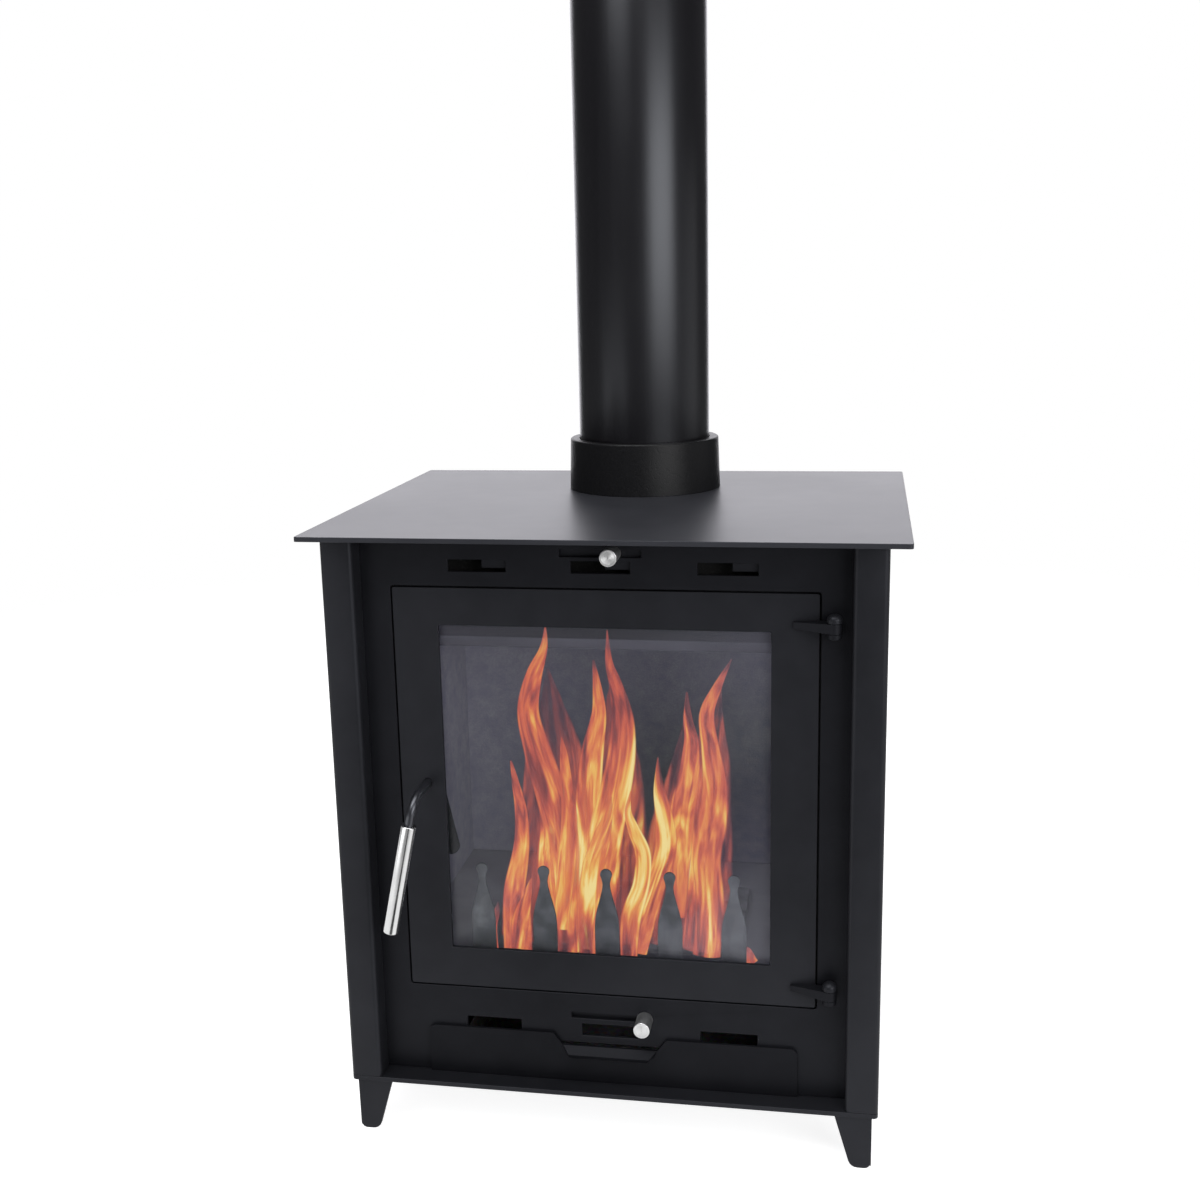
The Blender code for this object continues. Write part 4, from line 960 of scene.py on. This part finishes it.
def seal_rope():
    """Graphite black glass fibre, with pale ends where it is worn."""
    g = Graph("seal_rope")
    fibres = g.noise(2200, 3, distortion=1.5)
    wear = g.span(g.noise(160, 4), 0.58, 0.75)
    dark = g.blend(fibres, FIBRE_DARK, FIBRE_LIGHT)
    colour = g.blend(g.math("MULTIPLY", wear, 0.5), dark, FIBRE_WORN)
    g.set(Base_Color=colour, Roughness=g.span(fibres, 0, 1, 0.85, 1.0), Sheen_Weight=0.2)
    g.set(Normal=g.bump(fibres, 0.0004))
    return g.material


def firebrick():
    """Pressed vermiculite board: pale chips, smoked grey by the fire."""
    g = Graph("firebrick")
    chips = g.add("TexVoronoi", {"Vector": g.place, "Scale": 420.0})
    flake = g.span(chips.outputs["Distance"], 0.1, 0.7)
    smoke = g.span(g.math("ADD", g.noise(6, 4), g.noise(70, 3)), 0.75, 1.25)
    colour = g.blend(smoke, g.blend(flake, BRICK_CHIP, BRICK_JOINT), BRICK_SMOKE)
    rough_skin = g.bump(g.noise(160, 5), 0.0002, g.bump(flake, 0.00012))
    g.set(Base_Color=colour, Roughness=g.span(smoke, 0, 1, 0.86, 0.98), Normal=rough_skin)
    g.set(Specular_IOR_Level=0.2)
    return g.material


def sooty_board():
    """Baffle board blackened by smoke."""
    g = Graph("sooty_board")
    smoke = g.noise(22, 4)
    rough = g.span(smoke, 0.3, 0.7, 0.88, 0.98)
    g.set(Base_Color=g.blend(smoke, BOARD_DARK, BOARD_LIGHT), Roughness=rough)
    g.set(Normal=g.bump(g.noise(260, 4), 0.0002), Specular_IOR_Level=0.2)
    return g.material


def ceramic_glass():
    """Clear stove glass with a soft mirror, under a grey haze that thickens towards its rims:
    bloom, with painted fill light over the shaded firebox at the head and hinge side, and both at
    the foot.
    """
    g = Graph("ceramic_glass")
    patches = g.math("ADD", g.noise(5, 3), g.math("MULTIPLY", g.noise(26, 4), 0.3))
    share = g.span(patches, 0.45, 0.85, BLOOM_THIN, BLOOM_THICK)
    place = g.add("SeparateXYZ", {0: g.place}).outputs
    # the foot, head and hinge side regions thicken the haze: painted fill light over the firebox's
    # shade, the foot's partly real bloom
    for axis, region in (("Z", BLOOM_AND_FILL_FOOT), ("Z", FILL_LIGHT_HEAD), ("X", FILL_LIGHT_HINGE_SIDE)):
        share = g.math("ADD", share, g.span(place[axis], smooth=True, **region))
    tint = g.blend(g.span(g.noise(3.2, 2), 0.35, 0.6), BLOOM_GREY, BLOOM_BLUE)
    clear = g.add("BsdfTransparent", {"Color": GLASS_CLEAR}).outputs[0]
    haze = g.add("BsdfDiffuse", {"Color": tint}).outputs[0]
    film = g.add("MixShader", {0: share, 1: clear, 2: haze}).outputs[0]
    gloss = g.add("BsdfGlossy", {"Color": WHITE, "Roughness": 0.06}).outputs[0]
    edge = g.add("Fresnel", {"IOR": GLASS_MIRROR_IOR}).outputs[0]
    mix = g.add("MixShader", {0: edge, 1: film, 2: gloss}).outputs[0]
    g.plug(g.tree.nodes["Material Output"].inputs["Surface"], mix)
    g.tree.nodes.remove(g.shader)
    return g.material


def flame(name, warmth, density):
    """Burning gas: bright streaks up each tongue, yellow in the fire's middle, red at its rim."""
    g = Graph(name)
    uv = g.add("SeparateXYZ", {0: g.add("UVMap", uv_map="UVMap").outputs["UV"]})
    flow = g.add("Attribute", attribute_name="flow").outputs["Vector"]
    rise = uv.outputs["Y"]
    rim = g.math("ABSOLUTE", g.math("SUBTRACT", g.math("MULTIPLY", uv.outputs["X"], 2.0), 1.0))
    core = g.math("SUBTRACT", 1.0, rim)
    streaks = g.noise(1.0, 3, flow, (120.0, 12.0, 1.0), 0.9)
    waves = g.noise(1.0, 2, flow, (48.0, 10.0, 1.0), 1.4)
    outline = g.math("MULTIPLY", g.span(core, 0.03, 0.14), g.span(core, 0.18, 0.4, 1.0, 0.0))
    heat_terms = [
        g.span(core, 0.0, 0.7, 0.0, 0.16, smooth=True),
        g.span(streaks, 0.28, 0.72, -0.26, 0.34),
        g.span(waves, 0.3, 0.7, -0.22, 0.24),
        g.math("MULTIPLY", outline, 0.16),
        g.span(rise, 0.3, 1.0, 0.0, -0.09),
        g.span(g.distance(FIRE_MIDDLE), 0.03, 0.15, 0.28, 0.0, smooth=True),
    ]
    heat = warmth
    for term in heat_terms:
        heat = g.math("ADD", heat, term)
    thin = g.span(core, 0.0, 0.2, smooth=True)
    breaks = g.span(g.math("ADD", streaks, waves), 0.7, 1.02, 0.4, 1.0)
    ends = g.span(rise, 0.75, 1.0, 1.0, 0.4)
    alpha = g.math("MULTIPLY", g.math("MULTIPLY", thin, breaks), ends)
    g.set(Base_Color=BLACK, Emission_Color=g.ramp(heat, FLAME_STOPS), Emission_Strength=1.0)
    g.set(Roughness=1.0, Specular_IOR_Level=0.0, Alpha=g.math("MULTIPLY", alpha, density))
    return g.material


MATERIALS = {
    **{name: painted(name, **paint) for name, paint in PAINTS.items()},
    **{name: ashed(name, **look) for name, look in ASHED.items()},
    "pipe_paint": pipe_paint(), "cast_iron": cast_iron(), "inner_steel": inner_steel(),
    "polished_steel": polished_steel(), "turned_steel": turned_steel(),
    "plated_steel": plated_steel(), "ceramic_glass": ceramic_glass(), "seal_rope": seal_rope(),
    "firebrick": firebrick(), "sooty_board": sooty_board(),
    "flame": flame("flame", FLAME_WARMTH, FLAME_DENSITY),
    "flame_veil": flame("flame_veil", VEIL_WARMTH, VEIL_DENSITY),
}


def material_of(node):
    """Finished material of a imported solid: its own, or the one its slot has."""
    return MATERIALS[OWN_MATERIAL.get(node) or slot_of(node)]


def dress_packed_solids():
    """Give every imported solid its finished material."""
    for node, obj in frame["nodes"].items():
        obj.data.materials.clear()
        obj.data.materials.append(material_of(node))


# ---------------------------------------------------------------- studio

def camera():
    """Camera in front of the stove and a little to its right, looking down at it."""
    data = bpy.data.cameras.new("camera")
    data.lens = CAMERA_LENS
    data.sensor_width = CAMERA_SENSOR
    obj = bpy.data.objects.new("camera", data)
    bpy.context.collection.objects.link(obj)
    aim = Matrix.Rotation(-CAMERA_YAW, 4, "Z") @ Matrix.Rotation(math.pi / 2 + CAMERA_PITCH, 4, "X")
    obj.matrix_world = Matrix.Translation(CAMERA_PLACE) @ aim @ Matrix.Rotation(CAMERA_ROLL, 4, "Z")
    bpy.context.scene.camera = obj


def softbox(name, place, aim, width, height, radiance, colour):
    """Soft rectangular lamp that faces a point."""
    data = bpy.data.lights.new(name, "AREA")
    data.shape = "RECTANGLE"
    data.size = width
    data.size_y = height
    data.energy = radiance * math.pi * width * height
    data.color = colour
    lamp = bpy.data.objects.new(name, data)
    bpy.context.collection.objects.link(lamp)
    lamp.location = place
    lamp.rotation_euler = (Vector(aim) - Vector(place)).to_track_quat("-Z", "Y").to_euler()
    lamp.visible_camera = False


def floor_disc(name, height, glow):
    """Round pale floor that fades out at its rim; glow gives its own light from its graph."""
    bm = bmesh.new()
    bmesh.ops.create_circle(bm, cap_ends=True, segments=FLOOR_SIDES, radius=FLOOR_R)
    mesh = bpy.data.meshes.new(name)
    bm.to_mesh(mesh)
    bm.free()
    floor = bpy.data.objects.new(name, mesh)
    floor.location.z = height
    bpy.context.collection.objects.link(floor)
    g = Graph(name)
    shown = g.span(g.distance((0, 0, 0)), FLOOR_FADE_R, FLOOR_R, 1.0, 0.0, smooth=True)
    g.set(Base_Color=FLOOR_GREY, Roughness=0.9, Alpha=shown)
    g.set(Emission_Color=WHITE, Emission_Strength=glow(g))
    mesh.materials.append(g.material)
    return floor


def dimmed_glow(g):
    """The floor's own light, put out in a round spot in front of the stove."""
    spot = g.distance(DIM_SPOT)
    return g.span(spot, DIM_SPOT_R, DIM_SPOT_FADE_R, 0.0, FLOOR_GLOW, smooth=True)


def studio_floor():
    """Floor that is seen, and the dimmer floor that stands in for it in reflections."""
    seen = floor_disc("studio_floor", 0, lambda g: FLOOR_GLOW)
    seen.visible_glossy = False
    mirrored = floor_disc("mirrored_floor", -MIRRORED_DROP, dimmed_glow)
    mirrored.visible_camera = False
    mirrored.visible_diffuse = False
    mirrored.visible_shadow = False


def black_flag():
    """Dark card on the floor that only reflections see; it draws a fine line down bright metal."""
    across = Vector((math.cos(FLAG_TURN), math.sin(FLAG_TURN), 0)) * FLAG_WIDTH / 2
    along = Vector((-math.sin(FLAG_TURN), math.cos(FLAG_TURN), 0)) * FLAG_LENGTH / 2
    corners = [(-1, -1), (1, -1), (1, 1), (-1, 1)]
    points = [Vector(FLAG_PLACE) + i * across + j * along for i, j in corners]
    mesh = bpy.data.meshes.new("black_flag")
    mesh.from_pydata(points, [], [(0, 1, 2, 3)])
    card = bpy.data.objects.new("black_flag", mesh)
    bpy.context.collection.objects.link(card)
    g = Graph("black_flag")
    g.set(Base_Color=FLAG_GREY, Roughness=1.0)
    mesh.materials.append(g.material)
    card.visible_camera = False
    card.visible_diffuse = False
    card.visible_shadow = False


def studio_world():
    """White background, with a dimmer room around for the lighting."""
    world = bpy.data.worlds.new("studio")
    world.use_nodes = True
    tree = world.node_tree
    light = tree.nodes["Background"]
    light.inputs["Color"].default_value = (*WORLD_LIGHT, 1.0)
    light.inputs["Strength"].default_value = WORLD_STRENGTH
    shown = tree.nodes.new("ShaderNodeBackground")
    shown.inputs["Color"].default_value = (*WHITE, 1.0)
    rays = tree.nodes.new("ShaderNodeLightPath")
    mix = tree.nodes.new("ShaderNodeMixShader")
    tree.links.new(rays.outputs["Is Camera Ray"], mix.inputs[0])
    tree.links.new(light.outputs[0], mix.inputs[1])
    tree.links.new(shown.outputs[0], mix.inputs[2])
    tree.links.new(mix.outputs[0], tree.nodes["World Output"].inputs["Surface"])
    bpy.context.scene.world = world
    bpy.context.scene.view_settings.view_transform = "Standard"


# ---------------------------------------------------------------- build

def build():
    """Make every finished piece, dress the solids that stay, and set up the studio."""
    for node, radius in EDGE_R.items():
        rounded_copy(node, radius)
    flue_pipe()
    flue_collar()
    for node in ("upper_knob", "lower_knob"):
        air_knob(node)
    for node in ("hinge_pin_upper", "hinge_pin_lower"):
        hinge_pin(node)
    for number in range(1, 5):
        clip_screw(f"clip_screw_{number}")
    spindle_bush()
    handle_rod()
    handle_sleeve()
    for node, plait in SEALS.items():
        plaited_loop(node, **plait)
    flames()
    dress_packed_solids()
    camera()
    studio_floor()
    black_flag()
    studio_world()
    for name, lamp in LAMPS.items():
        softbox(name, **lamp)


build()
